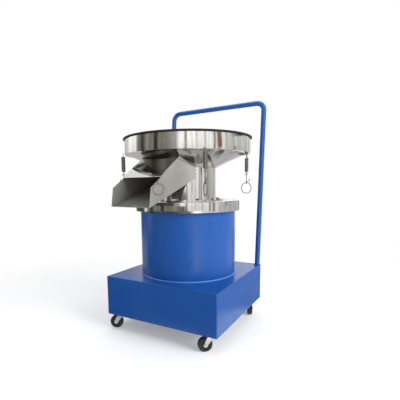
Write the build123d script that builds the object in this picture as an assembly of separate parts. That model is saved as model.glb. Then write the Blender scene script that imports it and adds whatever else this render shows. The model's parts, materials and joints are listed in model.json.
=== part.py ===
"""Vibrating sieve on a push cart: a round sieve tray, a sloped discharge chute and a drum that
holds the vibration motor, on a square base with four casters.

The origin is on the floor, on the drum's axis.  +Z is up, -Y is the chute side (front), +Y is the
handle side (rear) and +X is the right.  All lengths are in millimetres, all angles in degrees.
"""
import os
from math import cos, radians, sin, tan

from build123d import *

# Casters
caster_height = 78.0
caster_inset = 47.0
caster_trail = 27.0
wheel_diameter = 62.0
wheel_width = 23.0
wheel_hub_diameter = 34.0
axle_diameter = 8.0
axle_head_height = 3.0
wheel_edge_chamfer = 3.0
wheel_dish_depth = 2.5
wheel_hub_step = 1.5
fork_sheet = 2.5
fork_side_gap = 1.2
fork_crown_radius = 24.0
fork_boss_radius = 9.5
fork_leg_rear_inset = 11.0
fork_leg_front_inset = 6.0
kingpin_diameter = 10.0
kingpin_head_diameter = 17.0
kingpin_head_height = 3.5
caster_plate_margin = 9.0
caster_plate_sheet = 3.0
caster_plate_corner = 6.0
caster_race_radius = 20.0
caster_race_height = 5.0
caster_bolt_spacing = 50.0
caster_bolt_diameter = 8.0
swivel_gap = 0.3
running_gap = 0.1
caster_directions = {
    "front_right": -138.0,
    "front_left": -157.0,
    "rear_right": -64.0,
    "rear_left": -118.0,
}

# Cart base
base_width = 572.0
base_depth = 572.0
base_height = 184.0
base_sheet = 3.0
base_bend_radius = 4.0
base_top_bend_radius = 3.0
base_access_inset = 31.3
corner_plate_size = 100.0
corner_plate_thickness = 6.0

# Push handle
handle_tube_diameter = 26.0
handle_tube_wall = 2.0
handle_side_inset = 12.2
handle_rear_inset = 24.0
handle_rise = 849.0
handle_lean = 4.86
handle_bend_radius = 40.0

# Drum, spring shelf and lid
drum_diameter = 462.6
drum_sheet = 3.0
drum_height = 338.0
drum_weld_leg = 4.5
shelf_width = 78.3
shelf_thickness = 6.0
lid_overhang = 21.9
lid_sheet = 2.0
lid_skirt = 46.5
lid_bend_radius = 3.0
lid_clearance = 12.5
shaft_passage_diameter = 80.0

# Isolation springs between the shelf and the vibrating plate
spring_count = 8
spring_first_angle = 27.5
spring_edge_distance = 25.0
spring_height = 62.0
spring_coil_radius = 16.0
spring_wire = 6.0
spring_turns = 5
seat_radius = 20.0
seat_thickness = 4.0
seat_spigot_radius = 11.0
seat_spigot_height = 8.0

# Vibrating plate and neck
plate_side_gap = 13.3
plate_thickness = 10.0
neck_diameter = 277.2
neck_sheet = 2.5
neck_height = 151.5
neck_flange_width = 37.0
neck_flange_thickness = 4.0
neck_bolt_count = 8
neck_bolt_first_angle = 5.0
neck_bolt_offset = 19.4
neck_bolt_diameter = 10.0

# Cone and tray
cone_height = 63.4
tray_diameter = 600.0
tray_ledge_width = 20.0
tray_sheet = 2.0
tray_band_height = 69.6
tray_rim_width = 9.0

# Screen: woven cloth on a flat ring, with a rubber channel round its edge
gasket_overhang = 6.8
gasket_width = 14.8
gasket_height = 7.0
gasket_edge_chamfer = 1.2
screen_ring_width = 33.0
screen_ring_thickness = 2.0
screen_cloth_overlap = 14.0
screen_cloth_thickness = 0.6
screen_fit_gap = 0.25

# Discharge chute
chute_direction = -97.0
chute_side_inset = 31.0
chute_reach = 395.0
chute_front_z = 600.2
chute_front_height = 77.5
chute_front_setback = 11.5
chute_floor_slope = 20.6
chute_top_slope = 34.7
chute_open_length = 59.5
chute_sheet = 2.0
pan_level_start = -28.0
pan_rise = 3.0

# Vibration motor, hung under the vibrating plate
motor_flange_overhang = 38.0
motor_flange_thickness = 14.0
motor_bolt_count = 6
motor_bolt_offset = 21.0
motor_bolt_diameter = 12.0
motor_diameter = 184.0
motor_wall = 5.0
motor_length = 190.0
motor_fin_count = 24
motor_fin_height = 6.0
motor_fin_thickness = 2.5
motor_cap_thickness = 14.0
core_length = 110.0
core_air_gap = 0.5
rotor_core_depth = 32.0
bearing_outer_radius = 31.0
bearing_height = 12.0
shaft_diameter = 30.0
shaft_overhang = 46.0
weight_overhang = 3.0
weight_hub_radius = 26.0
weight_thickness = 22.0
weight_gap = 17.5
weight_phase = 90.0

# Cable gland at the back of the drum
gland_height = 68.0
gland_body_diameter = 24.0
gland_thread_diameter = 16.0
gland_bore = 9.0
gland_length = 24.0
gland_tail = 14.0

# Spring latches on the tray
latch_angles = {
    "front_right": -47.5,
    "rear_right": 42.5,
    "rear_left": 137.5,
    "front_left": -137.5,
}
latch_pivot_offset = 8.0
latch_pivot_rise = 2.6
lug_thickness = 3.0
lug_radius = 4.8
lug_hole_diameter = 3.8
loop_radius = 5.0
loop_wire = 2.5
latch_coil_diameter = 19.0
latch_coil_length = 72.0
latch_coil_wire = 3.0
latch_link_gap = 0.35
hook_wire = 3.6
hook_length = 36.6
hook_bend_radius = 8.0
hook_tip_length = 6.0
hook_bend_rise = 10.5
hook_bend_lead = 2.0
eye_hole_radius = 2.6
eye_wire = 3.0
pull_ring_diameter = 57.0
pull_ring_wire = 4.0

# Radii and plate sizes that follow from the sizes above
caster_plate_size = caster_bolt_spacing + 2 * caster_plate_margin
base_access_radius = drum_diameter / 2 - base_access_inset
shelf_bore_radius = drum_diameter / 2 - drum_sheet - shelf_width
lid_radius = drum_diameter / 2 + lid_overhang
plate_radius = drum_diameter / 2 - drum_sheet - plate_side_gap
spring_circle_radius = plate_radius - spring_edge_distance
neck_radius = neck_diameter / 2
neck_bolt_circle_radius = neck_radius + neck_bolt_offset
chute_half_width = neck_radius - chute_side_inset
tray_radius = tray_diameter / 2
cone_top_radius = tray_radius - tray_ledge_width
gasket_radius = tray_radius + gasket_overhang
motor_flange_radius = motor_diameter / 2 + motor_flange_overhang
motor_bolt_circle_radius = motor_diameter / 2 + motor_bolt_offset
rotor_core_radius = motor_diameter / 2 - motor_wall - rotor_core_depth
weight_radius = motor_diameter / 2 + weight_overhang
latch_pivot_radius = tray_radius + latch_pivot_offset

# Levels that follow from the sizes above
base_bottom_z = caster_height
base_top_z = base_bottom_z + base_height
drum_top_z = base_top_z + drum_height
plate_top_z = drum_top_z + lid_clearance
plate_bottom_z = plate_top_z - plate_thickness
lid_top_z = plate_top_z + lid_sheet
neck_top_z = lid_top_z + neck_height
tray_bottom_z = neck_top_z + cone_height
tray_top_z = tray_bottom_z + tray_band_height
spring_top_z = plate_bottom_z - seat_thickness
spring_bottom_z = spring_top_z - spring_height
shelf_top_z = spring_bottom_z - seat_thickness
motor_top_z = plate_bottom_z - motor_flange_thickness
motor_bottom_z = motor_top_z - motor_length
latch_pivot_z = tray_bottom_z + latch_pivot_rise

ON_FLOOR = (Align.CENTER, Align.CENTER, Align.MIN)


def cylinder(radius, bottom, top):
    """Upright cylinder on the Z axis between two heights."""
    return Pos(0, 0, bottom) * Cylinder(radius, top - bottom, align=ON_FLOOR)


def tube(outer_radius, inner_radius, bottom, top):
    """Upright tube on the Z axis between two heights."""
    return cylinder(outer_radius, bottom, top) - cylinder(inner_radius, bottom, top)


def turned(points):
    """Solid turned about Z from a closed outline of (radius, height) points."""
    return revolve(Plane.XZ * make_face(Polyline(*points, close=True)), Axis.Z)


def hexagon(across_flats, bottom, top):
    """Upright hexagonal prism on the Z axis between two heights."""
    outline = RegularPolygon(across_flats / 2, 6, major_radius=False)
    return Pos(0, 0, bottom) * extrude(outline, top - bottom)


def wall_plate(points, width):
    """Plate with an outline of (x, z) points, centred on the XZ plane."""
    face = Plane.XZ * make_face(Polyline(*points, close=True))
    return extrude(face, width / 2, both=True)


def around(item, count, first_angle, radius):
    """Copies of an item at equal angles on a circle about Z."""
    copies = []
    for index in range(count):
        angle = first_angle + 360.0 * index / count
        copies.append(Rot(0, 0, angle) * Pos(radius, 0, 0) * item)
    return copies


def bolt(diameter, head_from, head_to, shank_to, nut_from):
    """Hexagon bolt and its nut on the Z axis; the nut ends where the shank does."""
    across_flats = 1.7 * diameter
    shank_from = min(head_from, head_to)
    body = cylinder(diameter / 2, min(shank_from, shank_to), max(head_to, shank_to))
    body += hexagon(across_flats, min(head_from, head_to), max(head_from, head_to))
    if nut_from is not None:
        body += hexagon(across_flats, min(nut_from, shank_to), max(nut_from, shank_to))
    return body


def caster_centre(corner):
    """Plan position of a caster's swivel axis."""
    side_x = 1 if corner.endswith("right") else -1
    side_y = 1 if corner.startswith("rear") else -1
    return (side_x * (base_width / 2 - caster_inset), side_y * (base_depth / 2 - caster_inset))


def square_corners(spacing):
    """The four corners of a square about the Z axis."""
    half = spacing / 2
    return [(half, half), (-half, half), (-half, -half), (half, -half)]


# Cart base

def base_shell():
    """Folded sheet box, open below, with a round opening under the drum."""
    block = Pos(0, 0, base_bottom_z) * Box(base_width, base_depth, base_height, align=ON_FLOOR)
    block = fillet(block.edges().filter_by(Axis.Z), base_bend_radius)
    block = fillet(block.faces().sort_by(Axis.Z)[-1].edges(), base_top_bend_radius)
    inner = Pos(0, 0, base_bottom_z) * Box(
        base_width - 2 * base_sheet, base_depth - 2 * base_sheet, base_height - base_sheet,
        align=ON_FLOOR)
    return block - inner - cylinder(base_access_radius, base_bottom_z, base_top_z)


def caster_corner_plates():
    """Thick plates welded into the base's lower corners, drilled for the caster bolts."""
    plates = []
    for corner in caster_directions:
        x, y = caster_centre(corner)
        reach = corner_plate_size / 2 + base_sheet
        plate_x = (base_width / 2 - reach) * (1 if x > 0 else -1)
        plate_y = (base_depth / 2 - reach) * (1 if y > 0 else -1)
        plate = Pos(plate_x, plate_y, base_bottom_z) * Box(
            corner_plate_size, corner_plate_size, corner_plate_thickness, align=ON_FLOOR)
        for dx, dy in square_corners(caster_bolt_spacing):
            plate -= Pos(x + dx, y + dy, 0) * cylinder(
                caster_bolt_diameter / 2, base_bottom_z, base_bottom_z + corner_plate_thickness)
        plates.append(plate)
    return Compound(children=plates)


def push_handle():
    """Bent tube: two legs that lean back from the base and a cross bar."""
    half = base_width / 2 - handle_side_inset
    foot_y = base_depth / 2 - handle_rear_inset
    lean = tan(radians(handle_lean))
    start_y = foot_y - handle_tube_diameter * lean
    start_z = base_top_z - handle_tube_diameter
    bar_y = foot_y + handle_rise * lean
    bar_z = base_top_z + handle_rise
    path = FilletPolyline(
        (half, start_y, start_z),
        (half, bar_y, bar_z),
        (-half, bar_y, bar_z),
        (-half, start_y, start_z),
        radius=handle_bend_radius)
    start = Plane(origin=path @ 0, z_dir=path % 0)
    outer = sweep(start * Circle(handle_tube_diameter / 2), path=path)
    inner = sweep(start * Circle(handle_tube_diameter / 2 - handle_tube_wall), path=path)
    keep = Pos(0, 0, base_top_z) * Box(
        2 * base_width, 4 * base_depth, 2 * handle_rise, align=ON_FLOOR)
    return (outer - inner) & keep


# Casters

def caster_plates():
    """Top plate, upper race and kingpin of each caster."""
    top = base_bottom_z
    race_bottom = top - caster_plate_sheet - caster_race_height
    crown_bottom = race_bottom - swivel_gap - fork_sheet
    pin_bottom = crown_bottom - swivel_gap - kingpin_head_height
    plates = []
    for corner in caster_directions:
        x, y = caster_centre(corner)
        plate = Pos(0, 0, top - caster_plate_sheet) * Box(
            caster_plate_size, caster_plate_size, caster_plate_sheet, align=ON_FLOOR)
        plate = fillet(plate.edges().filter_by(Axis.Z), caster_plate_corner)
        plate += cylinder(caster_race_radius, race_bottom, top - caster_plate_sheet)
        plate += cylinder(kingpin_diameter / 2, pin_bottom, race_bottom)
        plate += cylinder(
            kingpin_head_diameter / 2, pin_bottom, pin_bottom + kingpin_head_height)
        for dx, dy in square_corners(caster_bolt_spacing):
            plate -= Pos(dx, dy, 0) * cylinder(
                caster_bolt_diameter / 2, top - caster_plate_sheet, top)
        plates.append(Pos(x, y, 0) * plate)
    return Compound(children=plates)


def caster_bolts():
    """Four bolts and nuts for each caster."""
    under = base_bottom_z - caster_plate_sheet
    over = base_bottom_z + corner_plate_thickness
    nut = 0.8 * caster_bolt_diameter
    item = bolt(caster_bolt_diameter, under - 0.6 * caster_bolt_diameter, under, over + nut, over)
    bolts = []
    for corner in caster_directions:
        x, y = caster_centre(corner)
        for dx, dy in square_corners(caster_bolt_spacing):
            bolts.append(Pos(x + dx, y + dy, 0) * item)
    return Compound(children=bolts)


def at_caster(corner, item):
    """Turns a caster piece to its trail direction and puts it under its corner."""
    x, y = caster_centre(corner)
    return Pos(x, y, 0) * Rot(0, 0, caster_directions[corner]) * item


def caster_fork():
    """Pressed fork: a round crown and two legs down to the axle."""
    crown_top = base_bottom_z - caster_plate_sheet - caster_race_height - swivel_gap
    crown_bottom = crown_top - fork_sheet
    axle_z = wheel_diameter / 2
    inner = wheel_width / 2 + fork_side_gap
    crown = cylinder(fork_crown_radius, crown_bottom, crown_top)
    crown -= cylinder(kingpin_diameter / 2 + running_gap, crown_bottom, crown_top)
    boss = Pos(caster_trail, axle_z) * Circle(fork_boss_radius)
    rear = fork_crown_radius - fork_leg_rear_inset
    front = fork_crown_radius - fork_leg_front_inset
    strap = make_face(Polyline(
        (-rear, crown_top), (front, crown_top), (caster_trail + fork_boss_radius, axle_z),
        (caster_trail - fork_boss_radius, axle_z), close=True))
    leg_outline = Plane.XZ * ((boss + strap) - Pos(caster_trail, axle_z) * Circle(axle_diameter / 2))
    leg = extrude(leg_outline, fork_sheet)
    fork = crown
    for side in (inner + fork_sheet, -inner):
        fork += Pos(0, side, 0) * leg
    return fork


def caster_axle():
    """Axle bolt across the fork, with a flat head on each end."""
    half = wheel_width / 2 + fork_side_gap + fork_sheet
    head = axle_head_height
    pin = cylinder(axle_diameter / 2, -half, half)
    pin += cylinder(0.8 * axle_diameter, half, half + head)
    pin += cylinder(0.8 * axle_diameter, -half - head, -half)
    return Pos(caster_trail, 0, wheel_diameter / 2) * Rot(90, 0, 0) * pin


def caster_wheel():
    """Rubber-tyred wheel with a raised hub, bored for the axle."""
    half = wheel_width / 2
    outer = wheel_diameter / 2
    hub = wheel_hub_diameter / 2
    bore = axle_diameter / 2 + running_gap
    crown = wheel_edge_chamfer
    dish = wheel_dish_depth
    wheel = turned([
        (bore, -half), (hub * 0.55, -half), (hub * 0.6, dish - half), (hub, dish - half),
        (hub + wheel_hub_step, -half), (outer - crown, -half), (outer, crown - half), (outer, half - crown),
        (outer - crown, half), (hub + wheel_hub_step, half), (hub, half - dish), (hub * 0.6, half - dish),
        (hub * 0.55, half), (bore, half)])
    return Pos(caster_trail, 0, outer) * Rot(90, 0, 0) * wheel


# Drum and springs

def drum_shell():
    """Rolled drum welded to the base's top, with a hole for the cable gland."""
    outer = drum_diameter / 2
    inner = outer - drum_sheet
    drum = turned([
        (inner, base_top_z), (outer + drum_weld_leg, base_top_z), (outer, base_top_z + drum_weld_leg),
        (outer, drum_top_z), (inner, drum_top_z)])
    hole = Pos(0, outer, base_top_z + gland_height) * Rot(90, 0, 0) * Cylinder(
        gland_thread_diameter / 2, 6 * drum_sheet)
    return drum - hole


def spring_shelf():
    """Ring shelf inside the drum that carries the springs."""
    return tube(drum_diameter / 2 - drum_sheet, shelf_bore_radius, shelf_top_z - shelf_thickness,
                shelf_top_z)


def lower_spring_seats():
    """Spring seats on the shelf, each with a spigot inside its coil."""
    seat = cylinder(seat_radius, shelf_top_z, spring_bottom_z)
    seat += cylinder(seat_spigot_radius, spring_bottom_z, spring_bottom_z + seat_spigot_height)
    return Compound(children=around(seat, spring_count, spring_first_angle, spring_circle_radius))


def upper_spring_seats():
    """Spring seats under the vibrating plate."""
    seat = cylinder(seat_radius, spring_top_z, plate_bottom_z)
    seat += cylinder(seat_spigot_radius, spring_top_z - seat_spigot_height, spring_top_z)
    return Compound(children=around(seat, spring_count, spring_first_angle, spring_circle_radius))


def isolation_springs():
    """Coil springs that carry the vibrating plate."""
    rise = spring_height - spring_wire
    path = Helix(pitch=rise / spring_turns, height=rise, radius=spring_coil_radius)
    section = Plane(origin=path @ 0, z_dir=path % 0) * Circle(spring_wire / 2)
    coil = sweep(section, path=path, is_frenet=True)
    coil = Pos(0, 0, spring_bottom_z + spring_wire / 2) * coil
    ends = cylinder(spring_coil_radius + spring_wire, spring_bottom_z, spring_top_z)
    coil = coil & ends
    return Compound(children=around(coil, spring_count, spring_first_angle, spring_circle_radius))


def cable_gland():
    """Cable gland through the drum's rear wall."""
    wall = drum_diameter / 2
    bore = gland_bore / 2
    body = gland_body_diameter / 2
    thread = gland_thread_diameter / 2
    outer_end = wall + gland_length
    gland = turned([
        (bore, wall - gland_tail), (thread, wall - gland_tail), (thread, wall), (body, wall),
        (body, wall + 0.45 * gland_length), (0.82 * body, wall + 0.6 * gland_length),
        (0.6 * body, outer_end), (bore, outer_end)])
    return Pos(0, 0, base_top_z + gland_height) * Rot(-90, 0, 0) * gland


# Vibrating frame

def vibrating_plate():
    """Thick plate on the springs, bored for the shaft and drilled for its bolts."""
    plate = tube(plate_radius, shaft_passage_diameter / 2, plate_bottom_z, plate_top_z)
    neck_hole = cylinder(neck_bolt_diameter / 2, plate_bottom_z, plate_top_z)
    motor_hole = cylinder(motor_bolt_diameter / 2, plate_bottom_z, plate_top_z)
    for hole in around(neck_hole, neck_bolt_count, neck_bolt_first_angle, neck_bolt_circle_radius):
        plate -= hole
    for hole in around(motor_hole, motor_bolt_count, 0, motor_bolt_circle_radius):
        plate -= hole
    return plate


def drum_lid():
    """Shallow inverted pan over the drum, with a skirt that clears the drum's wall."""
    outer = lid_radius
    inner = outer - lid_sheet
    bore = shaft_passage_diameter / 2
    under = lid_top_z - lid_sheet
    skirt_z = lid_top_z - lid_skirt
    outline = make_face(Polyline(
        (bore, under), (inner, under), (inner, skirt_z), (outer, skirt_z), (outer, lid_top_z),
        (bore, lid_top_z), close=True))
    corner = outline.vertices().sort_by(Axis.X)[-1:] + outline.vertices().sort_by(Axis.X)[-2:-1]
    corner = [v for v in corner if abs(v.Y - lid_top_z) < lid_sheet / 2]
    outline = fillet(corner, lid_bend_radius)
    lid = revolve(Plane.XZ * outline, Axis.Z)
    hole = cylinder(neck_bolt_diameter / 2, under, lid_top_z)
    for item in around(hole, neck_bolt_count, neck_bolt_first_angle, neck_bolt_circle_radius):
        lid -= item
    return lid


def to_chute(item):
    """Turns a piece made along +X to the chute's direction."""
    return Rot(0, 0, chute_direction) * item


def chute_floor_z(along):
    """Height of the chute floor's underside at a distance from the axis."""
    return chute_front_z + tan(radians(chute_floor_slope)) * (chute_reach - along)


def chute_top_z(along):
    """Height of the chute's sloped top edge at a distance from the axis."""
    top_front = chute_reach - chute_front_setback
    rise = tan(radians(chute_top_slope)) * (top_front - along)
    return chute_front_z + chute_front_height + rise


def neck_tube():
    """Rolled neck with a bolted foot and a window into the chute."""
    outer = neck_radius
    inner = outer - neck_sheet
    foot_top = lid_top_z + neck_flange_thickness
    foot = outer + neck_flange_width
    neck = turned([
        (inner, lid_top_z), (foot, lid_top_z), (foot, foot_top), (outer, foot_top),
        (outer, neck_top_z), (inner, neck_top_z)])
    sill = chute_sheet + pan_rise
    window = wall_plate(
        [(0, chute_floor_z(0) + chute_sheet), (outer * 1.2, chute_floor_z(outer * 1.2) + chute_sheet),
         (outer * 1.2, neck_top_z), (0, neck_top_z)], 2 * (chute_half_width - chute_sheet))
    window &= cylinder(outer * 1.2, lid_top_z + sill, neck_top_z)
    neck -= to_chute(window)
    hole = cylinder(neck_bolt_diameter / 2, lid_top_z, foot_top)
    for item in around(hole, neck_bolt_count, neck_bolt_first_angle, neck_bolt_circle_radius):
        neck -= item
    return neck


def neck_bolts():
    """Bolts that clamp the neck's foot, the lid and the vibrating plate."""
    over = lid_top_z + neck_flange_thickness
    head = 0.65 * neck_bolt_diameter
    nut = 0.8 * neck_bolt_diameter
    item = bolt(neck_bolt_diameter, over, over + head, plate_bottom_z - nut, plate_bottom_z)
    return Compound(children=around(
        item, neck_bolt_count, neck_bolt_first_angle, neck_bolt_circle_radius))


def cone_funnel():
    """Cone from the neck up to the tray, with a flat ledge under the tray's band."""
    neck = neck_radius
    wide = cone_top_radius
    tray = tray_radius
    run = (wide - neck) / cone_height
    skin = tray_sheet * (1 + run * run) ** 0.5
    ledge_z = tray_bottom_z + tray_sheet
    return turned([
        (neck, neck_top_z), (wide, tray_bottom_z), (tray, tray_bottom_z), (tray, ledge_z),
        (neck - skin + run * (ledge_z - neck_top_z), ledge_z), (neck - skin, neck_top_z)])


def tray_band():
    """Upright band of the tray, with a flat rim turned inwards for the screen."""
    outer = tray_radius
    inner = outer - tray_sheet
    rim = outer - tray_rim_width
    foot = tray_bottom_z + tray_sheet
    return turned([
        (inner, foot), (outer, foot), (outer, tray_top_z), (rim, tray_top_z),
        (rim, tray_top_z - tray_sheet), (inner, tray_top_z - tray_sheet)])


def discharge_pan():
    """Bent plate inside the neck that sends the sieved material to the chute."""
    inner = neck_radius - neck_sheet
    level_z = chute_floor_z(pan_level_start)
    far = 1.1 * inner
    pan = wall_plate([
        (far, chute_floor_z(far)), (pan_level_start, level_z), (-far, level_z + pan_rise),
        (-far, level_z + pan_rise + chute_sheet), (pan_level_start, level_z + chute_sheet),
        (far, chute_floor_z(far) + chute_sheet)], 2 * far)
    return to_chute(pan & cylinder(inner, lid_top_z, tray_top_z))


def sieve_envelope():
    """Filled shape of the neck, cone and tray, used to trim what is welded to them."""
    neck = neck_radius
    tray = tray_radius
    top = chute_top_z(0) + 2 * chute_sheet
    return turned([
        (0, lid_top_z), (neck, lid_top_z), (neck, neck_top_z), (cone_top_radius, tray_bottom_z),
        (tray, tray_bottom_z), (tray, top), (0, top)])


def chute_body():
    """Open channel: a sloped floor and two side plates, welded to the neck and cone."""
    top_front = chute_reach - chute_front_setback
    width = 2 * chute_half_width
    side = wall_plate([
        (0, chute_floor_z(0)), (chute_reach, chute_front_z),
        (top_front, chute_front_z + chute_front_height), (0, chute_top_z(0))], chute_sheet)
    floor = wall_plate([
        (0, chute_floor_z(0)), (chute_reach, chute_front_z),
        (chute_reach, chute_front_z + chute_sheet), (0, chute_floor_z(0) + chute_sheet)], width)
    shift = chute_half_width - chute_sheet / 2
    body = floor + Pos(0, shift, 0) * side + Pos(0, -shift, 0) * side
    return to_chute(body - sieve_envelope())


def chute_cover():
    """Plate on the chute's sloped top edges, from the cone to just behind the mouth."""
    lower_end = chute_reach - chute_front_setback - chute_open_length
    skin = chute_sheet / cos(radians(chute_top_slope))
    cover = wall_plate([
        (0, chute_top_z(0)), (lower_end, chute_top_z(lower_end)),
        (lower_end + chute_sheet * sin(radians(chute_top_slope)),
         chute_top_z(lower_end) + chute_sheet * cos(radians(chute_top_slope))),
        (0, chute_top_z(0) + skin)], 2 * chute_half_width)
    return to_chute(cover - sieve_envelope())


# Vibration motor

def motor_flange():
    """Upper end shield with the mounting flange and the upper bearing seat."""
    flange = cylinder(motor_flange_radius, motor_top_z, plate_bottom_z)
    flange -= cylinder(bearing_outer_radius, plate_bottom_z - bearing_height, plate_bottom_z)
    flange -= cylinder(0.7 * bearing_outer_radius, motor_top_z, plate_bottom_z)
    hole = cylinder(motor_bolt_diameter / 2, motor_top_z, plate_bottom_z)
    for item in around(hole, motor_bolt_count, 0, motor_bolt_circle_radius):
        flange -= item
    return flange


def motor_bolts():
    """Bolts that hold the motor under the vibrating plate."""
    head = 0.65 * motor_bolt_diameter
    item = bolt(motor_bolt_diameter, motor_top_z - head, motor_top_z, plate_top_z, None)
    return Compound(children=around(item, motor_bolt_count, 0, motor_bolt_circle_radius))


def motor_housing():
    """Finned motor shell."""
    outer = motor_diameter / 2
    housing = tube(outer, outer - motor_wall, motor_bottom_z, motor_top_z)
    fin = Pos(0, 0, motor_bottom_z + motor_fin_height) * Box(
        2 * motor_fin_height, motor_fin_thickness, motor_length - 2 * motor_fin_height,
        align=ON_FLOOR)
    fins = around(fin, motor_fin_count, 0, outer)
    bore = cylinder(outer - motor_wall, motor_bottom_z, motor_top_z)
    return housing + [item - bore for item in fins]


def motor_cap():
    """Lower end shield with the lower bearing seat."""
    bottom = motor_bottom_z - motor_cap_thickness
    cap = cylinder(motor_diameter / 2, bottom, motor_bottom_z)
    cap -= cylinder(bearing_outer_radius, motor_bottom_z - bearing_height, motor_bottom_z)
    return cap - cylinder(0.7 * bearing_outer_radius, bottom, motor_bottom_z)


def motor_bearings():
    """Upper and lower bearings of the motor shaft."""
    bore = shaft_diameter / 2 + running_gap
    upper = tube(bearing_outer_radius, bore, plate_bottom_z - bearing_height, plate_bottom_z)
    lower = tube(bearing_outer_radius, bore, motor_bottom_z - bearing_height, motor_bottom_z)
    return Compound(children=[upper, lower])


def core_span():
    """Lower and upper height of the motor's iron cores."""
    middle = (motor_bottom_z + motor_top_z) / 2
    return middle - core_length / 2, middle + core_length / 2


def stator_core():
    """Iron core pressed into the motor shell."""
    bottom, top = core_span()
    return tube(motor_diameter / 2 - motor_wall, rotor_core_radius + core_air_gap, bottom, top)


def rotor_core():
    """Iron core pressed on the shaft."""
    bottom, top = core_span()
    return tube(rotor_core_radius, shaft_diameter / 2, bottom, top)


def upper_weight_z():
    """Lower face of the upper weight."""
    return lid_top_z + weight_gap


def lower_weight_z():
    """Lower face of the lower weight."""
    return motor_bottom_z - motor_cap_thickness - weight_gap - weight_thickness


def motor_shaft():
    """Shaft that carries the core and both weights."""
    bottom = lower_weight_z() - shaft_overhang / 4
    top = upper_weight_z() + weight_thickness + shaft_overhang / 4
    return cylinder(shaft_diameter / 2, bottom, top)


def eccentric_weight(bottom):
    """Half-round weight with a round hub, bored for the shaft."""
    top = bottom + weight_thickness
    half = cylinder(weight_radius, bottom, top)
    half &= Pos(weight_radius, 0, bottom) * Box(
        2 * weight_radius, 2 * weight_radius, weight_thickness, align=ON_FLOOR)
    weight = half + cylinder(weight_hub_radius, bottom, top)
    return weight - cylinder(shaft_diameter / 2, bottom, top)


# Screen

def rim_gasket():
    """Rubber channel round the screen's edge, lying on the tray's rim."""
    outer = gasket_radius
    inner = outer - gasket_width
    top = tray_top_z + gasket_height
    slot_bottom = ring_bottom_z() - screen_fit_gap
    slot_top = ring_bottom_z() + screen_ring_thickness + screen_fit_gap
    slot = ring_outer_radius() + screen_fit_gap
    round_off = gasket_edge_chamfer
    return turned([
        (inner, tray_top_z), (outer - round_off, tray_top_z), (outer, tray_top_z + round_off),
        (outer, top - round_off), (outer - round_off, top), (inner, top), (inner, slot_top),
        (slot, slot_top), (slot, slot_bottom), (inner, slot_bottom)])


def ring_bottom_z():
    """Underside of the screen ring, in the middle of the gasket's height."""
    return tray_top_z + (gasket_height - screen_ring_thickness) / 2


def ring_outer_radius():
    """Outer radius of the screen ring inside its gasket."""
    return gasket_radius - gasket_width / 5


def screen_ring():
    """Flat ring that carries the cloth."""
    outer = ring_outer_radius()
    bottom = ring_bottom_z()
    return tube(outer, outer - screen_ring_width, bottom, bottom + screen_ring_thickness)


def screen_cloth():
    """Woven cloth stretched under the ring."""
    radius = ring_outer_radius() - screen_ring_width + screen_cloth_overlap
    return cylinder(radius, ring_bottom_z() - screen_cloth_thickness, ring_bottom_z())


# Latches; each is made at azimuth 0 and then turned about Z

def latch_lug():
    """Ear on the tray's band with the hole that holds the spring's loop."""
    root = tray_radius
    ear = make_face(Polyline(
        (root, latch_pivot_z - lug_radius / 2), (latch_pivot_radius, latch_pivot_z - lug_radius),
        (latch_pivot_radius, latch_pivot_z + lug_radius), (root, latch_pivot_z + 2 * lug_radius),
        close=True))
    ear += Pos(latch_pivot_radius, latch_pivot_z) * Circle(lug_radius)
    ear -= Pos(latch_pivot_radius, latch_pivot_z) * Circle(lug_hole_diameter / 2)
    return extrude(Plane.XZ * ear, lug_thickness / 2, both=True)


def latch_lugs():
    """The four ears."""
    return Compound(children=[Rot(0, 0, angle) * latch_lug() for angle in latch_angles.values()])


def loop(drop):
    """Wire loop across the radial plane, its middle a given drop below the pivot."""
    return Pos(latch_pivot_radius, 0, latch_pivot_z - drop) * Rot(0, 90, 0) * Torus(
        loop_radius, loop_wire / 2)


def coil_start():
    """Drop from the pivot to the top of the coils."""
    return 2 * loop_radius


def lower_loop_drop():
    """Drop from the pivot to the middle of the spring's lower loop."""
    return coil_start() + latch_coil_length + loop_radius


def latch_spring():
    """Closely wound tension spring with a loop at each end."""
    outer = latch_coil_diameter / 2
    valley = outer - latch_coil_wire / 3
    turns = round(latch_coil_length / latch_coil_wire)
    pitch = latch_coil_length / turns
    top = latch_pivot_z - coil_start()
    bottom = top - latch_coil_length
    edges = [Line((0, bottom), (valley, bottom))]
    for index in range(turns):
        low = bottom + index * pitch
        edges.append(ThreePointArc((valley, low), (outer, low + pitch / 2), (valley, low + pitch)))
    edges.append(Line((valley, top), (0, top)))
    edges.append(Line((0, top), (0, bottom)))
    coil = revolve(Plane.XZ * make_face(edges), Axis.Z)
    coil -= cylinder(outer - latch_coil_wire, bottom + loop_wire, top - loop_wire)
    return Pos(latch_pivot_radius, 0, 0) * coil + loop(loop_radius) + loop(lower_loop_drop())


def hook_eye_drop():
    """Drop from the pivot to the middle of the hook's upper eye."""
    link = (loop_wire + eye_wire) / 2 + latch_link_gap
    return lower_loop_drop() + loop_radius - link + loop_radius


def pull_ring_pivot_drop():
    """Drop from the pivot to the wire of the pull ring inside its eye."""
    return hook_eye_drop() + loop_radius + hook_length


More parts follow.
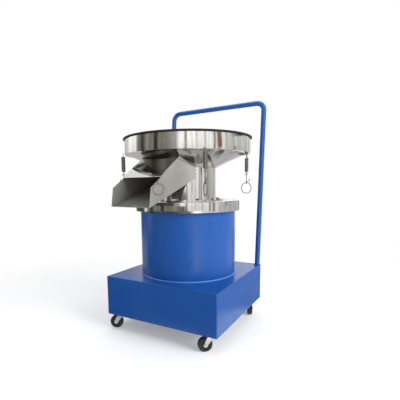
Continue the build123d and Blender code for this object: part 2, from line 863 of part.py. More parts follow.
def latch_hook():
    """Bent wire hook: an eye above, a hook to the outside and an eye for the pull ring."""
    eye_radius = eye_hole_radius + eye_wire / 2
    eye_top = pull_ring_pivot_drop() - eye_radius
    wire = hook_wire / 2
    upper_eye = Pos(0, 0, -hook_eye_drop()) * Rot(90, 0, 0) * Torus(loop_radius, eye_wire / 2)
    shank_top = hook_eye_drop() + loop_radius
    shank = cylinder(wire, -eye_top, -shank_top)
    ring_eye = Pos(0, 0, -pull_ring_pivot_drop()) * Rot(0, 90, 0) * Torus(eye_radius, eye_wire / 2)
    bend_z = -(eye_top - hook_bend_rise)
    tip_x = 2 * hook_bend_radius
    path = Line((0, 0, bend_z + hook_bend_lead), (0, 0, bend_z)) + ThreePointArc(
        (0, 0, bend_z), (hook_bend_radius, 0, bend_z - hook_bend_radius), (tip_x, 0, bend_z))
    path = path + Line((tip_x, 0, bend_z), (tip_x, 0, bend_z + hook_tip_length))
    start = Plane(origin=(0, 0, bend_z + hook_bend_lead), z_dir=(0, 0, -1))
    bend = sweep(start * Circle(wire), path=path)
    hook = upper_eye + shank + ring_eye + bend
    return Pos(latch_pivot_radius, 0, latch_pivot_z) * hook


def latch_ring():
    """Pull ring that hangs in the hook's lower eye."""
    radius = (pull_ring_diameter - pull_ring_wire) / 2
    drop = pull_ring_pivot_drop() + radius
    return Pos(latch_pivot_radius, 0, latch_pivot_z - drop) * Rot(90, 0, 0) * Torus(
        radius, pull_ring_wire / 2)


def all_nodes():
    """Every node's name and shape."""
    nodes = {
        "base_shell": base_shell(),
        "caster_corner_plates": caster_corner_plates(),
        "push_handle": push_handle(),
        "caster_plates": caster_plates(),
        "caster_bolts": caster_bolts(),
        "drum_shell": drum_shell(),
        "spring_shelf": spring_shelf(),
        "lower_spring_seats": lower_spring_seats(),
        "isolation_springs": isolation_springs(),
        "cable_gland": cable_gland(),
        "vibrating_plate": vibrating_plate(),
        "upper_spring_seats": upper_spring_seats(),
        "drum_lid": drum_lid(),
        "neck_tube": neck_tube(),
        "neck_bolts": neck_bolts(),
        "cone_funnel": cone_funnel(),
        "tray_band": tray_band(),
        "discharge_pan": discharge_pan(),
        "chute_body": chute_body(),
        "chute_cover": chute_cover(),
        "latch_lugs": latch_lugs(),
        "motor_flange": motor_flange(),
        "motor_bolts": motor_bolts(),
        "motor_housing": motor_housing(),
        "stator_core": stator_core(),
        "motor_cap": motor_cap(),
        "motor_bearings": motor_bearings(),
        "motor_shaft": motor_shaft(),
        "rotor_core": rotor_core(),
        "upper_weight": eccentric_weight(upper_weight_z()),
        "lower_weight": Rot(0, 0, weight_phase) * eccentric_weight(lower_weight_z()),
        "rim_gasket": rim_gasket(),
        "screen_ring": screen_ring(),
        "screen_cloth": screen_cloth(),
    }
    for corner in caster_directions:
        nodes[f"caster_{corner}_fork"] = at_caster(corner, caster_fork())
        nodes[f"caster_{corner}_axle"] = at_caster(corner, caster_axle())
        nodes[f"caster_{corner}_wheel"] = at_caster(corner, caster_wheel())
    for place, angle in latch_angles.items():
        nodes[f"latch_{place}_spring"] = Rot(0, 0, angle) * latch_spring()
        nodes[f"latch_{place}_hook"] = Rot(0, 0, angle) * latch_hook()
        nodes[f"latch_{place}_ring"] = Rot(0, 0, angle) * latch_ring()
    return nodes


os.makedirs("parts", exist_ok=True)
for name, shape in all_nodes().items():
    export_step(shape, f"parts/{name}.step")
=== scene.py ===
"""Looks of the vibrating sieve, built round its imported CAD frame.

The row frame is in metres: the origin is on the floor on the drum's axis, +Z is up, -Y is the
chute side and +X is the right.  Azimuths are in degrees about +Z, with 0 along +X.
"""
from __future__ import annotations

import json
import logging
import math
import random
from dataclasses import dataclass, field
from enum import Enum
from typing import Callable, Iterable, Sequence

import bpy
from mathutils import Matrix, Vector

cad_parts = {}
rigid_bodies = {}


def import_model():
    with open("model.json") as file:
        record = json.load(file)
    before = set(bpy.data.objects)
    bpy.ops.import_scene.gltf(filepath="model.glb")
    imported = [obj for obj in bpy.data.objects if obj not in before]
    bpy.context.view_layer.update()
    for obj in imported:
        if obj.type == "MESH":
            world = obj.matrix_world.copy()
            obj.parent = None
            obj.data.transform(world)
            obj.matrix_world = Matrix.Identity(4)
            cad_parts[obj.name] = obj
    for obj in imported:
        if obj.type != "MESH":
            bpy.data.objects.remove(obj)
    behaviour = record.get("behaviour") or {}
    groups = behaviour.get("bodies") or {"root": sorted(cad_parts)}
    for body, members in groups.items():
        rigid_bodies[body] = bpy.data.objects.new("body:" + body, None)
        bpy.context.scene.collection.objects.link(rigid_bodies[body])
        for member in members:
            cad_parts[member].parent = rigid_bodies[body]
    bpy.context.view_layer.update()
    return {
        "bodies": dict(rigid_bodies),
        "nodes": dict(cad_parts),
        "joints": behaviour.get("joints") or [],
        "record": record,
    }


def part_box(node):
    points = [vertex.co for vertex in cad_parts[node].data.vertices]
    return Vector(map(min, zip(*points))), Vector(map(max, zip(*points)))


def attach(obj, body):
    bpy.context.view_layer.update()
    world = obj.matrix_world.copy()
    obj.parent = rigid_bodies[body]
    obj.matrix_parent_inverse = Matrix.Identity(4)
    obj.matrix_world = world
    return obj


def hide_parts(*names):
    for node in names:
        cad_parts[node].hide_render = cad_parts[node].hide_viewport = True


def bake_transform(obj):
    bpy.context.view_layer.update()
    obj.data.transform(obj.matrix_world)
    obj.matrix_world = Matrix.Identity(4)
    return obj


LOG = logging.getLogger("vibrating_sieve")
FULL_TURN = 2 * math.pi

Colour = tuple[float, float, float]
Outline = list[tuple[float, float]]


class Slot(Enum):
    """The record's material slots."""

    BLUE_PAINT = "blue_paint"
    POLISHED_STAINLESS = "polished_stainless"
    ZINC_PLATE = "zinc_plate"
    SPRING_STEEL = "spring_steel"
    INNER_PAINT = "inner_paint"
    DARK_SPRING = "dark_spring"
    MOTOR_PAINT = "motor_paint"
    CAST_IRON = "cast_iron"
    GROUND_STEEL = "ground_steel"
    BLACK_RUBBER = "black_rubber"
    WOVEN_WIRE = "woven_wire"
    BLACK_PLASTIC = "black_plastic"
    BLACK_TYRE = "black_tyre"


def around_axis(azimuth: float) -> Matrix:
    """Turn about the drum's axis.

    Args:
        azimuth: Angle in degrees.

    Returns:
        The rotation matrix.
    """
    return Matrix.Rotation(math.radians(azimuth), 4, "Z")


def polar(radius: float, angle: float, height: float) -> Vector:
    """Point round the Z axis.

    Args:
        radius: Distance from the axis.
        angle: Azimuth in radians.
        height: Its height.

    Returns:
        The point.
    """
    return Vector((radius * math.cos(angle), radius * math.sin(angle), height))


@dataclass
class Shape:
    """Points and faces of a mesh that is being made."""

    points: list[Vector] = field(default_factory=list)
    faces: list[tuple[int, ...]] = field(default_factory=list)

    def add(self, other: "Shape") -> "Shape":
        """Take in another shape.

        Args:
            other: The shape whose points and faces are added.

        Returns:
            This shape.
        """
        first = len(self.points)
        self.points.extend(other.points)
        self.faces.extend(tuple(first + index for index in face) for face in other.faces)
        return self

    def placed(self, matrix: Matrix) -> "Shape":
        """Copy this shape through a matrix.

        Args:
            matrix: Where the copy goes.

        Returns:
            The copy.
        """
        return Shape([matrix @ point for point in self.points], list(self.faces))

    def as_object(self, name: str, crease: float = 35.0) -> bpy.types.Object:
        """Make a smooth-shaded Blender object whose hard corners stay sharp.

        Args:
            name: Name of the object and its mesh.
            crease: Angle in degrees above which an edge is sharp.

        Returns:
            The object, linked to the scene.
        """
        mesh = bpy.data.meshes.new(name)
        mesh.from_pydata([tuple(point) for point in self.points], [], self.faces)
        mesh.validate()
        mesh.shade_smooth()
        mesh.set_sharp_from_angle(angle=math.radians(crease))
        piece = bpy.data.objects.new(name, mesh)
        bpy.context.scene.collection.objects.link(piece)
        return piece


def rounded_outline(corners: Outline, radii: Sequence[float], steps: int = 5) -> Outline:
    """Round the corners of a closed outline with arcs.

    Args:
        corners: Corner points in order.
        radii: One radius for each corner; 0 leaves it sharp.
        steps: Points on each arc beyond its first.

    Returns:
        The outline with its arcs.
    """
    result: Outline = []
    count = len(corners)
    for index, (corner, radius) in enumerate(zip(corners, radii)):
        here = Vector(corner)
        if radius <= 0:
            result.append(corner)
            continue
        before = (Vector(corners[index - 1]) - here).normalized()
        after = (Vector(corners[(index + 1) % count]) - here).normalized()
        half = before.angle(after) / 2
        reach = radius / math.tan(half)
        bisector = (before + after).normalized()
        centre = here + bisector * (radius / math.sin(half))
        start = here + before * reach - centre
        end = here + after * reach - centre
        sweep = start.angle(end)
        for step in range(steps + 1):
            share = step / steps
            a = math.sin((1 - share) * sweep) / math.sin(sweep)
            b = math.sin(share * sweep) / math.sin(sweep)
            point = centre + start * a + end * b
            result.append((point.x, point.y))
    return result


def turned(outline: Outline, steps: int,
           wave: Callable[[float, float], float] | None = None) -> Shape:
    """Turn a closed outline of (radius, height) points about the Z axis.

    Args:
        outline: The section, its last point joined to its first.
        steps: Facets round the axis.
        wave: Radial offset in metres at (azimuth in radians, height), or None.

    Returns:
        The ring-shaped solid.
    """
    shape = Shape()
    count = len(outline)
    for turn in range(steps):
        angle = FULL_TURN * turn / steps
        for radius, height in outline:
            reach = radius + (wave(angle, height) if wave else 0.0)
            shape.points.append(polar(reach, angle, height))
    for turn in range(steps):
        here = turn * count
        there = ((turn + 1) % steps) * count
        for index in range(count):
            after = (index + 1) % count
            shape.faces.append((here + index, there + index, there + after, here + after))
    return shape


def wire(path: Sequence[Vector], radii: float | Sequence[float], sides: int = 10,
         closed: bool = False) -> Shape:
    """Round wire or bead along a path.

    Args:
        path: Points of the centreline.
        radii: One radius, or one for each point.
        sides: Facets round the wire.
        closed: Whether the last point joins the first.

    Returns:
        The wire, with flat ends where it is open.
    """
    count = len(path)
    sizes = [radii] * count if isinstance(radii, float) else list(radii)
    shape = Shape()
    normal = Vector((0.0, 0.0, 1.0))
    for index, point in enumerate(path):
        last = path[index - 1] if closed or index else point
        following = path[(index + 1) % count] if closed or index < count - 1 else point
        tangent = (following - last).normalized()
        if abs(tangent.dot(normal)) > 0.98:
            normal = tangent.orthogonal()
        side = tangent.cross(normal).normalized()
        normal = side.cross(tangent).normalized()
        for step in range(sides):
            angle = FULL_TURN * step / sides
            spoke = side * math.cos(angle) + normal * math.sin(angle)
            shape.points.append(point + spoke * sizes[index])
    spans = count if closed else count - 1
    for index in range(spans):
        here = index * sides
        there = ((index + 1) % count) * sides
        for step in range(sides):
            after = (step + 1) % sides
            shape.faces.append((here + step, here + after, there + after, there + step))
    if not closed:
        shape.faces.append(tuple(reversed(range(sides))))
        shape.faces.append(tuple(range((count - 1) * sides, count * sides)))
    return shape


def circle_path(radius: float, height: float, steps: int) -> list[Vector]:
    """Points of a level circle about the Z axis.

    Args:
        radius: Radius of the circle.
        height: Its height.
        steps: How many points.

    Returns:
        The points, the first along +X.
    """
    return [polar(radius, FULL_TURN * step / steps, height) for step in range(steps)]


def bead_radii(count: int, radius: float, roughness: float, seed: int) -> list[float]:
    """Uneven radii of a weld bead laid by hand.

    Args:
        count: How many points the bead has.
        radius: Mean radius.
        roughness: Share by which the radius varies.
        seed: Seed of the random draws.

    Returns:
        One radius for each point.
    """
    draw = random.Random(seed)
    sizes = []
    for index in range(count):
        ripple = abs(math.sin(index * math.pi / 3))
        sizes.append(radius * (1 + roughness * (ripple - 0.6) + roughness * draw.uniform(-0.4, 0.4)))
    return sizes


def weld_spot(radius: float, height: float, rings: int = 3, steps: int = 10) -> Shape:
    """Low round dot of weld metal on the XY plane.

    Args:
        radius: Radius of the dot.
        height: Height of its crown.
        rings: Rings between its foot and its crown.
        steps: Facets round it.

    Returns:
        The dot, with a flat underside a little below the plane.
    """
    shape = Shape()
    shape.points.append(Vector((0, 0, -height)))
    for ring in range(rings + 1):
        lift = math.sin(ring / rings * math.pi / 2)
        reach = radius * math.cos(ring / (rings + 1) * math.pi / 2)
        level = -height if ring == 0 else height * lift
        for step in range(steps):
            shape.points.append(polar(reach, FULL_TURN * step / steps, level))
    shape.points.append(Vector((0, 0, height * 1.1)))
    top = len(shape.points) - 1
    for step in range(steps):
        after = (step + 1) % steps
        shape.faces.append((0, 1 + after, 1 + step))
        for ring in range(rings):
            low = 1 + ring * steps
            high = low + steps
            shape.faces.append((low + step, low + after, high + after, high + step))
        crown = 1 + rings * steps
        shape.faces.append((crown + step, crown + after, top))
    return shape


def looked_at(tree: bpy.types.NodeTree) -> bpy.types.NodeSocket:
    """Tell the camera's, mirrors' and clear pieces' rays from all others.

    Args:
        tree: Node tree that gets the nodes.

    Returns:
        A value socket, 1 for such a ray.
    """
    rays = tree.nodes.new("ShaderNodeLightPath")
    seen = rays.outputs["Is Camera Ray"]
    for name in ("Is Glossy Ray", "Is Transmission Ray"):
        node = tree.nodes.new("ShaderNodeMath")
        node.operation = "MAXIMUM"
        tree.links.new(seen, node.inputs[0])
        tree.links.new(rays.outputs[name], node.inputs[1])
        seen = node.outputs["Value"]
    return seen


def mixed(tree: bpy.types.NodeTree, share: bpy.types.NodeSocket, first: bpy.types.NodeSocket,
          second: bpy.types.NodeSocket) -> bpy.types.NodeSocket:
    """Mix two shaders.

    Args:
        tree: Node tree that gets the node.
        share: 0 gives the first shader and 1 the second.
        first: First shader.
        second: Second shader.

    Returns:
        The mixed shader's socket.
    """
    node = tree.nodes.new("ShaderNodeMixShader")
    for place, socket in enumerate((share, first, second)):
        tree.links.new(socket, node.inputs[place])
    return node.outputs["Shader"]


class Recipe:
    """Node tree of one material, built from its Principled shader outwards."""

    def __init__(self, name: str) -> None:
        """Start an empty material.

        Args:
            name: Name of the material.
        """
        self.material = bpy.data.materials.new(name)
        self.material.use_nodes = True
        self.tree = self.material.node_tree
        self.nodes = self.tree.nodes
        self.links = self.tree.links
        self.nodes.clear()
        self.shader = self.nodes.new("ShaderNodeBsdfPrincipled")
        self.output = self.nodes.new("ShaderNodeOutputMaterial")
        self.show(self.shader.outputs["BSDF"])
        self.place = self.nodes.new("ShaderNodeTexCoord").outputs["Object"]

    def show(self, shader: bpy.types.NodeSocket) -> None:
        """Make a shader the material's surface."""
        self.links.new(shader, self.output.inputs["Surface"])

    def constant(self, **values: float) -> None:
        """Set plain values on the shader's own sockets.

        Args:
            values: Socket names, with underscores for spaces, and their values.
        """
        for name, value in values.items():
            self.shader.inputs[name.replace("_", " ")].default_value = value

    def feed(self, name: str, socket: bpy.types.NodeSocket) -> None:
        """Link a socket to one of the shader's inputs."""
        self.links.new(socket, self.shader.inputs[name])

    def stretched(self, scale: Sequence[float]) -> bpy.types.NodeSocket:
        """Object coordinates with their own scale along each axis."""
        node = self.nodes.new("ShaderNodeMapping")
        node.inputs["Scale"].default_value = scale
        self.links.new(self.place, node.inputs["Vector"])
        return node.outputs["Vector"]

    def noise(self, scale: float, detail: float = 2.0,
              place: bpy.types.NodeSocket | None = None) -> bpy.types.NodeSocket:
        """Soft random field.

        Args:
            scale: Blotches in a metre.
            detail: Finer layers added to it.
            place: Coordinates, or None for object coordinates.

        Returns:
            The field's value socket.
        """
        node = self.nodes.new("ShaderNodeTexNoise")
        node.inputs["Scale"].default_value = scale
        node.inputs["Detail"].default_value = detail
        self.links.new(place or self.place, node.inputs["Vector"])
        return node.outputs["Fac"]

    def grains(self, scale: float) -> bpy.types.NodeSocket:
        """Random grey level for each cell of a crystal pattern."""
        node = self.nodes.new("ShaderNodeTexVoronoi")
        node.inputs["Scale"].default_value = scale
        self.links.new(self.place, node.inputs["Vector"])
        split = self.nodes.new("ShaderNodeSeparateColor")
        self.links.new(node.outputs["Color"], split.inputs["Color"])
        return split.outputs["Red"]

    def threads(self, pitch: float, axis: str) -> bpy.types.NodeSocket:
        """Even bands across one axis, as of parallel wires.

        Args:
            pitch: Distance between wires in metres.
            axis: "X" or "Y".

        Returns:
            The bands' value socket.
        """
        node = self.nodes.new("ShaderNodeTexWave")
        node.bands_direction = axis
        node.inputs["Scale"].default_value = FULL_TURN / (20 * pitch)
        self.links.new(self.place, node.inputs["Vector"])
        return node.outputs["Fac"]

    def spread(self, value: bpy.types.NodeSocket, low: float, high: float,
               floor: float = 0.3, ceiling: float = 0.7) -> bpy.types.NodeSocket:
        """Map a field to a range.

        Args:
            value: The field.
            low: Result at the floor.
            high: Result at the ceiling.
            floor: Field value that gives low.
            ceiling: Field value that gives high.

        Returns:
            The mapped socket.
        """
        node = self.nodes.new("ShaderNodeMapRange")
        node.inputs["From Min"].default_value = floor
        node.inputs["From Max"].default_value = ceiling
        node.inputs["To Min"].default_value = low
        node.inputs["To Max"].default_value = high
        self.links.new(value, node.inputs["Value"])
        return node.outputs["Result"]

    def between(self, share: bpy.types.NodeSocket, first: Colour | bpy.types.NodeSocket,
                second: Colour | bpy.types.NodeSocket) -> bpy.types.NodeSocket:
        """Mix two colours.

        Args:
            share: 0 gives the first colour and 1 the second.
            first: Colour or socket.
            second: Colour or socket.

        Returns:
            The mixed colour's socket.
        """
        node = self.nodes.new("ShaderNodeMix")
        node.data_type = "RGBA"
        self.links.new(share, node.inputs["Factor"])
        for name, value in (("A", first), ("B", second)):
            socket = next(s for s in node.inputs if s.name == name and s.type == "RGBA")
            if isinstance(value, tuple):
                socket.default_value = (*value, 1.0)
            else:
                self.links.new(value, socket)
        return next(s for s in node.outputs if s.type == "RGBA")

    def combined(self, operation: str, first: bpy.types.NodeSocket,
                 second: bpy.types.NodeSocket | float) -> bpy.types.NodeSocket:
        """Combine two values with a Math node.

        Args:
            operation: The Math node's operation.
            first: First value.
            second: Second value or socket.

        Returns:
            The result's socket.
        """
        node = self.nodes.new("ShaderNodeMath")
        node.operation = operation
        self.links.new(first, node.inputs[0])
        if isinstance(second, float):
            node.inputs[1].default_value = second
        else:
            self.links.new(second, node.inputs[1])
        return node.outputs["Value"]

    def bump(self, height: bpy.types.NodeSocket, depth: float,
             strength: float = 1.0, under: bpy.types.NodeSocket | None = None) -> bpy.types.NodeSocket:
        """Relief from a field.

        Args:
            height: The field.
            depth: Relief in metres for a field value of 1.
            strength: Share of the relief that is used.
            under: Another bump's normal to add this one to.

        Returns:
            The normal's socket.
        """
        node = self.nodes.new("ShaderNodeBump")
        node.inputs["Strength"].default_value = strength
        node.inputs["Distance"].default_value = depth
        self.links.new(height, node.inputs["Height"])
        if under is not None:
            self.links.new(under, node.inputs["Normal"])
        return node.outputs["Normal"]


@dataclass(frozen=True)
class Paint:
    """Sprayed gloss paint with slight orange peel and uneven shade."""

    slot: Slot
    colour: Colour
    shade: Colour
    roughness: float = 0.24
    peel_depth: float = 0.00003
    gloss: float = 0.5

    def make(self) -> bpy.types.Material:
        """Build the material."""
        recipe = Recipe(self.slot.value + "_finish")
        cloud = recipe.spread(recipe.noise(7.0, 4.0), 0.0, 1.0)
        recipe.feed("Base Color", recipe.between(cloud, self.colour, self.shade))
        haze = recipe.noise(16.0, 2.0)
        recipe.feed("Roughness", recipe.spread(haze, self.roughness - 0.02, self.roughness + 0.03))
        wavy = recipe.bump(recipe.noise(9.0, 1.0), self.peel_depth * 16, 0.4)
        recipe.feed("Normal", recipe.bump(recipe.noise(170.0, 2.0), self.peel_depth, 0.5, wavy))
        recipe.constant(Specular_IOR_Level=self.gloss)
        return recipe.material


@dataclass(frozen=True)
class PolishedSteel:
    """Mirror-polished stainless sheet, a little wavy, with faint polishing marks; inside the chute it can be
    worn, with a painted shade on the floor.
    """

    slot: Slot = Slot.POLISHED_STAINLESS
    colour: Colour = (0.71, 0.70, 0.675)
    shade: Colour = (0.65, 0.64, 0.61)
    wave_depth: float = 0.0009
    mark_depth: float = 0.00002
    chute_azimuth: float = -97.0
    chute_inner_half_width: float = 0.1066
    scoured_roughness: float = 0.42
    scoured_wall: Colour = (0.40, 0.395, 0.37)
    # The floor colour is a painted shade: the upward-facing floor inside the chute is darker than its walls.
    shaded_floor: Colour = (0.150, 0.150, 0.135)
    scoured_metallic: float = 0.55
    scoured_and_shaded_edge: float = 0.0003
    scoured_and_shaded_chute: bool = False

    def make(self) -> bpy.types.Material:
        """Build the material."""
        recipe = Recipe(self.slot.value + "_finish")
        cloud = recipe.spread(recipe.noise(9.0, 3.0), 0.0, 1.0)
        colour = recipe.between(cloud, self.colour, self.shade)
        smear = recipe.noise(38.0, 5.0)
        roughness = recipe.spread(smear, 0.045, 0.13)
        if self.scoured_and_shaded_chute:
            inside = self.inside_chute(recipe)
            streak = recipe.spread(recipe.noise(26.0, 4.0), 0.75, 1.0)
            # Inside the chute the worn steel is rougher and less metallic, and its floor takes a darker
            # colour as a painted shade.
            worn_and_shaded = recipe.between(self.facing_up(recipe), self.scoured_wall, self.shaded_floor)
            colour = recipe.between(recipe.combined("MULTIPLY", inside, streak), colour, worn_and_shaded)
            dull = recipe.combined("MULTIPLY", inside, self.scoured_roughness)
            roughness = recipe.combined("MAXIMUM", dull, roughness)
            recipe.feed("Metallic", recipe.spread(inside, 1.0, self.scoured_metallic, 0.0, 1.0))
        else:
            recipe.constant(Metallic=1.0)
        recipe.feed("Base Color", colour)
        recipe.feed("Roughness", roughness)
        wavy = recipe.bump(recipe.noise(11.0, 1.0), self.wave_depth, 0.5)
        marks = recipe.noise(1.0, 2.0, recipe.stretched((60.0, 60.0, 900.0)))
        recipe.feed("Normal", recipe.bump(marks, self.mark_depth, 0.5, wavy))
        return recipe.material

    def facing_up(self, recipe: Recipe) -> bpy.types.NodeSocket:
        """Tell the chute's floor, which takes a painted shade, from its side plates.

        Args:
            recipe: The material that is being made.

        Returns:
            Share of floor, 1 where a surface faces up or down and 0 where it is upright.
        """
        split = recipe.nodes.new("ShaderNodeSeparateXYZ")
        recipe.links.new(recipe.place.node.outputs["Normal"], split.inputs["Vector"])
        squared = recipe.combined("MULTIPLY", split.outputs["Z"], split.outputs["Z"])
        return recipe.spread(squared, 0.0, 1.0, 0.2, 0.6)

    def inside_chute(self, recipe: Recipe) -> bpy.types.NodeSocket:
        """Where powder has scoured the polish off between the chute's side plates, and where the floor's
        painted shade lies.

        Args:
            recipe: The material that is being made.

        Returns:
            Share of wear and painted shade, 1 between the plates and 0 outside.
        """
        across = math.radians(self.chute_azimuth + 90)
        node = recipe.nodes.new("ShaderNodeVectorMath")
        node.operation = "DOT_PRODUCT"
        recipe.links.new(recipe.place, node.inputs[0])
        node.inputs[1].default_value = (math.cos(across), math.sin(across), 0.0)
        distance = recipe.nodes.new("ShaderNodeMath")
        distance.operation = "ABSOLUTE"
        recipe.links.new(node.outputs["Value"], distance.inputs[0])
        limit = self.chute_inner_half_width
        return recipe.spread(distance.outputs["Value"], 1.0, 0.0, limit - self.scoured_and_shaded_edge,
                             limit + self.scoured_and_shaded_edge)


@dataclass(frozen=True)
class PlatedSteel:
    """Bright plated or drawn steel with small grains and uneven shine."""

    slot: Slot
    colour: Colour
    shade: Colour
    grain: float = 220.0
    roughness: float = 0.30
    relief: float = 0.00003

    def make(self) -> bpy.types.Material:
        """Build the material."""
        recipe = Recipe(self.slot.value + "_finish")
        cells = recipe.spread(recipe.grains(self.grain), 0.0, 1.0, 0.0, 1.0)
        recipe.feed("Base Color", recipe.between(cells, self.colour, self.shade))
        smear = recipe.noise(120.0, 4.0)
        recipe.feed("Roughness", recipe.spread(smear, self.roughness - 0.08, self.roughness + 0.10))
        recipe.feed("Normal", recipe.bump(recipe.noise(600.0, 3.0), self.relief, 0.6))
        recipe.constant(Metallic=1.0)
        return recipe.material


@dataclass(frozen=True)
class CastMetal:
    """Cast or coated metal with a sandy surface."""

    slot: Slot
    colour: Colour
    shade: Colour
    roughness: float
    metallic: float
    relief: float = 0.0003

    def make(self) -> bpy.types.Material:
        """Build the material."""
        recipe = Recipe(self.slot.value + "_finish")
        cloud = recipe.spread(recipe.noise(30.0, 5.0), 0.0, 1.0)
        recipe.feed("Base Color", recipe.between(cloud, self.colour, self.shade))
        sand = recipe.noise(380.0, 5.0)
        recipe.feed("Roughness", recipe.spread(sand, self.roughness - 0.08, self.roughness + 0.08))
        recipe.feed("Normal", recipe.bump(sand, self.relief, 0.7))
        recipe.constant(Metallic=self.metallic)
        return recipe.material


@dataclass(frozen=True)
class Rubber:
    """Dull black rubber or plastic with fine moulding grain and a little dust."""

    slot: Slot
    colour: Colour
    dust: Colour
    roughness: float = 0.62
    relief: float = 0.00012

    def make(self) -> bpy.types.Material:
        """Build the material."""
        recipe = Recipe(self.slot.value + "_finish")
        patches = recipe.spread(recipe.noise(45.0, 5.0), 0.0, 0.6, 0.45, 0.75)
        recipe.feed("Base Color", recipe.between(patches, self.colour, self.dust))
        fine = recipe.noise(900.0, 3.0)
        recipe.feed("Roughness", recipe.spread(fine, self.roughness - 0.08, self.roughness + 0.10))
        recipe.feed("Normal", recipe.bump(fine, self.relief, 0.6))
        return recipe.material


@dataclass(frozen=True)
class WovenWire:
    """Fine square wire cloth."""

    slot: Slot = Slot.WOVEN_WIRE
    pitch: float = 0.0016
    colour: Colour = (0.66, 0.655, 0.63)
    shade: Colour = (0.52, 0.51, 0.48)
    gap: Colour = (0.30, 0.30, 0.29)

    def make(self) -> bpy.types.Material:
        """Build the material."""
        recipe = Recipe(self.slot.value + "_finish")
        along = recipe.threads(self.pitch, "X")
        across = recipe.threads(self.pitch, "Y")
        wires = recipe.combined("MAXIMUM", along, across)
        cloud = recipe.spread(recipe.noise(14.0, 3.0), 0.0, 1.0)
        metal = recipe.between(cloud, self.colour, self.shade)
        recipe.feed("Base Color", recipe.between(recipe.spread(wires, 0.0, 1.0, 0.2, 0.7), self.gap, metal))
        recipe.feed("Roughness", recipe.spread(wires, 0.6, 0.4))
        recipe.feed("Normal", recipe.bump(wires, self.pitch / 8, 0.6))
        recipe.constant(Metallic=0.7)
        return recipe.material


FINISHES = (
    Paint(Slot.BLUE_PAINT, (0.009, 0.098, 0.405), (0.007, 0.087, 0.370)),
    PolishedSteel(),
    PlatedSteel(Slot.ZINC_PLATE, (0.66, 0.67, 0.65), (0.48, 0.49, 0.47)),
    PlatedSteel(Slot.SPRING_STEEL, (0.36, 0.355, 0.34), (0.28, 0.275, 0.26), 500.0, 0.24),
    Paint(Slot.INNER_PAINT, (0.06, 0.07, 0.085), (0.045, 0.052, 0.065), roughness=0.45),
    CastMetal(Slot.DARK_SPRING, (0.028, 0.028, 0.032), (0.05, 0.048, 0.045), 0.45, 0.0, 0.0001),
    Paint(Slot.MOTOR_PAINT, (0.20, 0.24, 0.28), (0.16, 0.19, 0.225), roughness=0.42),
    CastMetal(Slot.CAST_IRON, (0.20, 0.20, 0.205), (0.13, 0.125, 0.12), 0.55, 0.85),
    PlatedSteel(Slot.GROUND_STEEL, (0.62, 0.62, 0.61), (0.52, 0.52, 0.51), 700.0, 0.24),
    Rubber(Slot.BLACK_RUBBER, (0.013, 0.013, 0.013), (0.030, 0.029, 0.027)),
    WovenWire(),
    Rubber(Slot.BLACK_PLASTIC, (0.016, 0.016, 0.017), (0.026, 0.026, 0.026), roughness=0.42),
    Rubber(Slot.BLACK_TYRE, (0.014, 0.014, 0.014), (0.045, 0.043, 0.040), roughness=0.55),
)

# Paler blue for the drum's foot weld: a painted highlight along the bead.
WELD_HIGHLIGHT_PAINT = Paint(Slot.BLUE_PAINT, (0.13, 0.34, 0.78), (0.11, 0.30, 0.72))


class Workshop:
    """Puts finished pieces on the frame's bodies."""

    scoured_and_shaded_nodes = ("chute_body", "discharge_pan")

    def __init__(self, frame: dict) -> None:
        """Make every finish.
        """
        self.frame = frame
        self.finishes = {finish.slot: finish.make() for finish in FINISHES}
        # Chute steel with wear, and a painted shade on its floor.
        self.scoured_and_shaded_steel = PolishedSteel(scoured_and_shaded_chute=True).make()
        self.weld_highlight_paint = WELD_HIGHLIGHT_PAINT.make()

    def dress(self, *nodes: str) -> None:
        """Give CAD nodes the finish of their own slot.

        Args:
            nodes: Names of the nodes.
        """
        slots = {row["node"]: Slot(row["material_slot"]) for row in self.frame["record"]["subparts"]}
        for name in nodes:
            node = self.frame["nodes"][name]
            node.data.materials.clear()
            node.data.materials.append(
                self.scoured_and_shaded_steel if name in self.scoured_and_shaded_nodes else self.finishes[slots[name]])
            LOG.info("dressed %s as %s", name, slots[name].value)

    def finished(self, name: str, shape: Shape, slot: Slot, crease: float = 35.0) -> bpy.types.Object:
        """Make a piece with its finish, riding on nothing yet.

        Args:
            name: Name of the piece.
            shape: Its mesh in the row frame.
            slot: The finish it takes.
            crease: Angle in degrees above which an edge is sharp.

        Returns:
            The piece.
        """
        piece = shape.as_object(name, crease)
        piece.data.materials.append(self.finishes[slot])
        return piece

    def place(self, name: str, shape: Shape, slot: Slot, body: str,
              replaces: Iterable[str] = (), crease: float = 35.0) -> bpy.types.Object:
        """Make a piece that rides on a body.

        Args:
            name: Name of the piece.
            shape: Its mesh in the row frame.
            slot: The finish it takes.
            body: The CAD body it rides on.
            replaces: CAD nodes it stands for.
            crease: Angle in degrees above which an edge is sharp.

        Returns:
            The piece.
        """
        piece = self.finished(name, shape, slot, crease)
        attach(piece, body)
        stands_for = list(replaces)
        if stands_for:
            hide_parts(*stands_for)
        LOG.info("made %s on %s", name, body)
        return piece


@dataclass
class SheetWave:
    """Slight unevenness of rolled sheet, as a radial offset."""

    depth: float
    lobes: tuple[int, ...]
    heights: tuple[float, ...]
    phases: tuple[float, ...]

    def __call__(self, angle: float, height: float) -> float:
        """Offset in metres at an azimuth in radians and a height in metres."""
        total = 0.0
        for lobe, rate, phase in zip(self.lobes, self.heights, self.phases):
            total += math.sin(lobe * angle + phase) * math.cos(rate * height + phase)
        return self.depth * total / len(self.lobes)


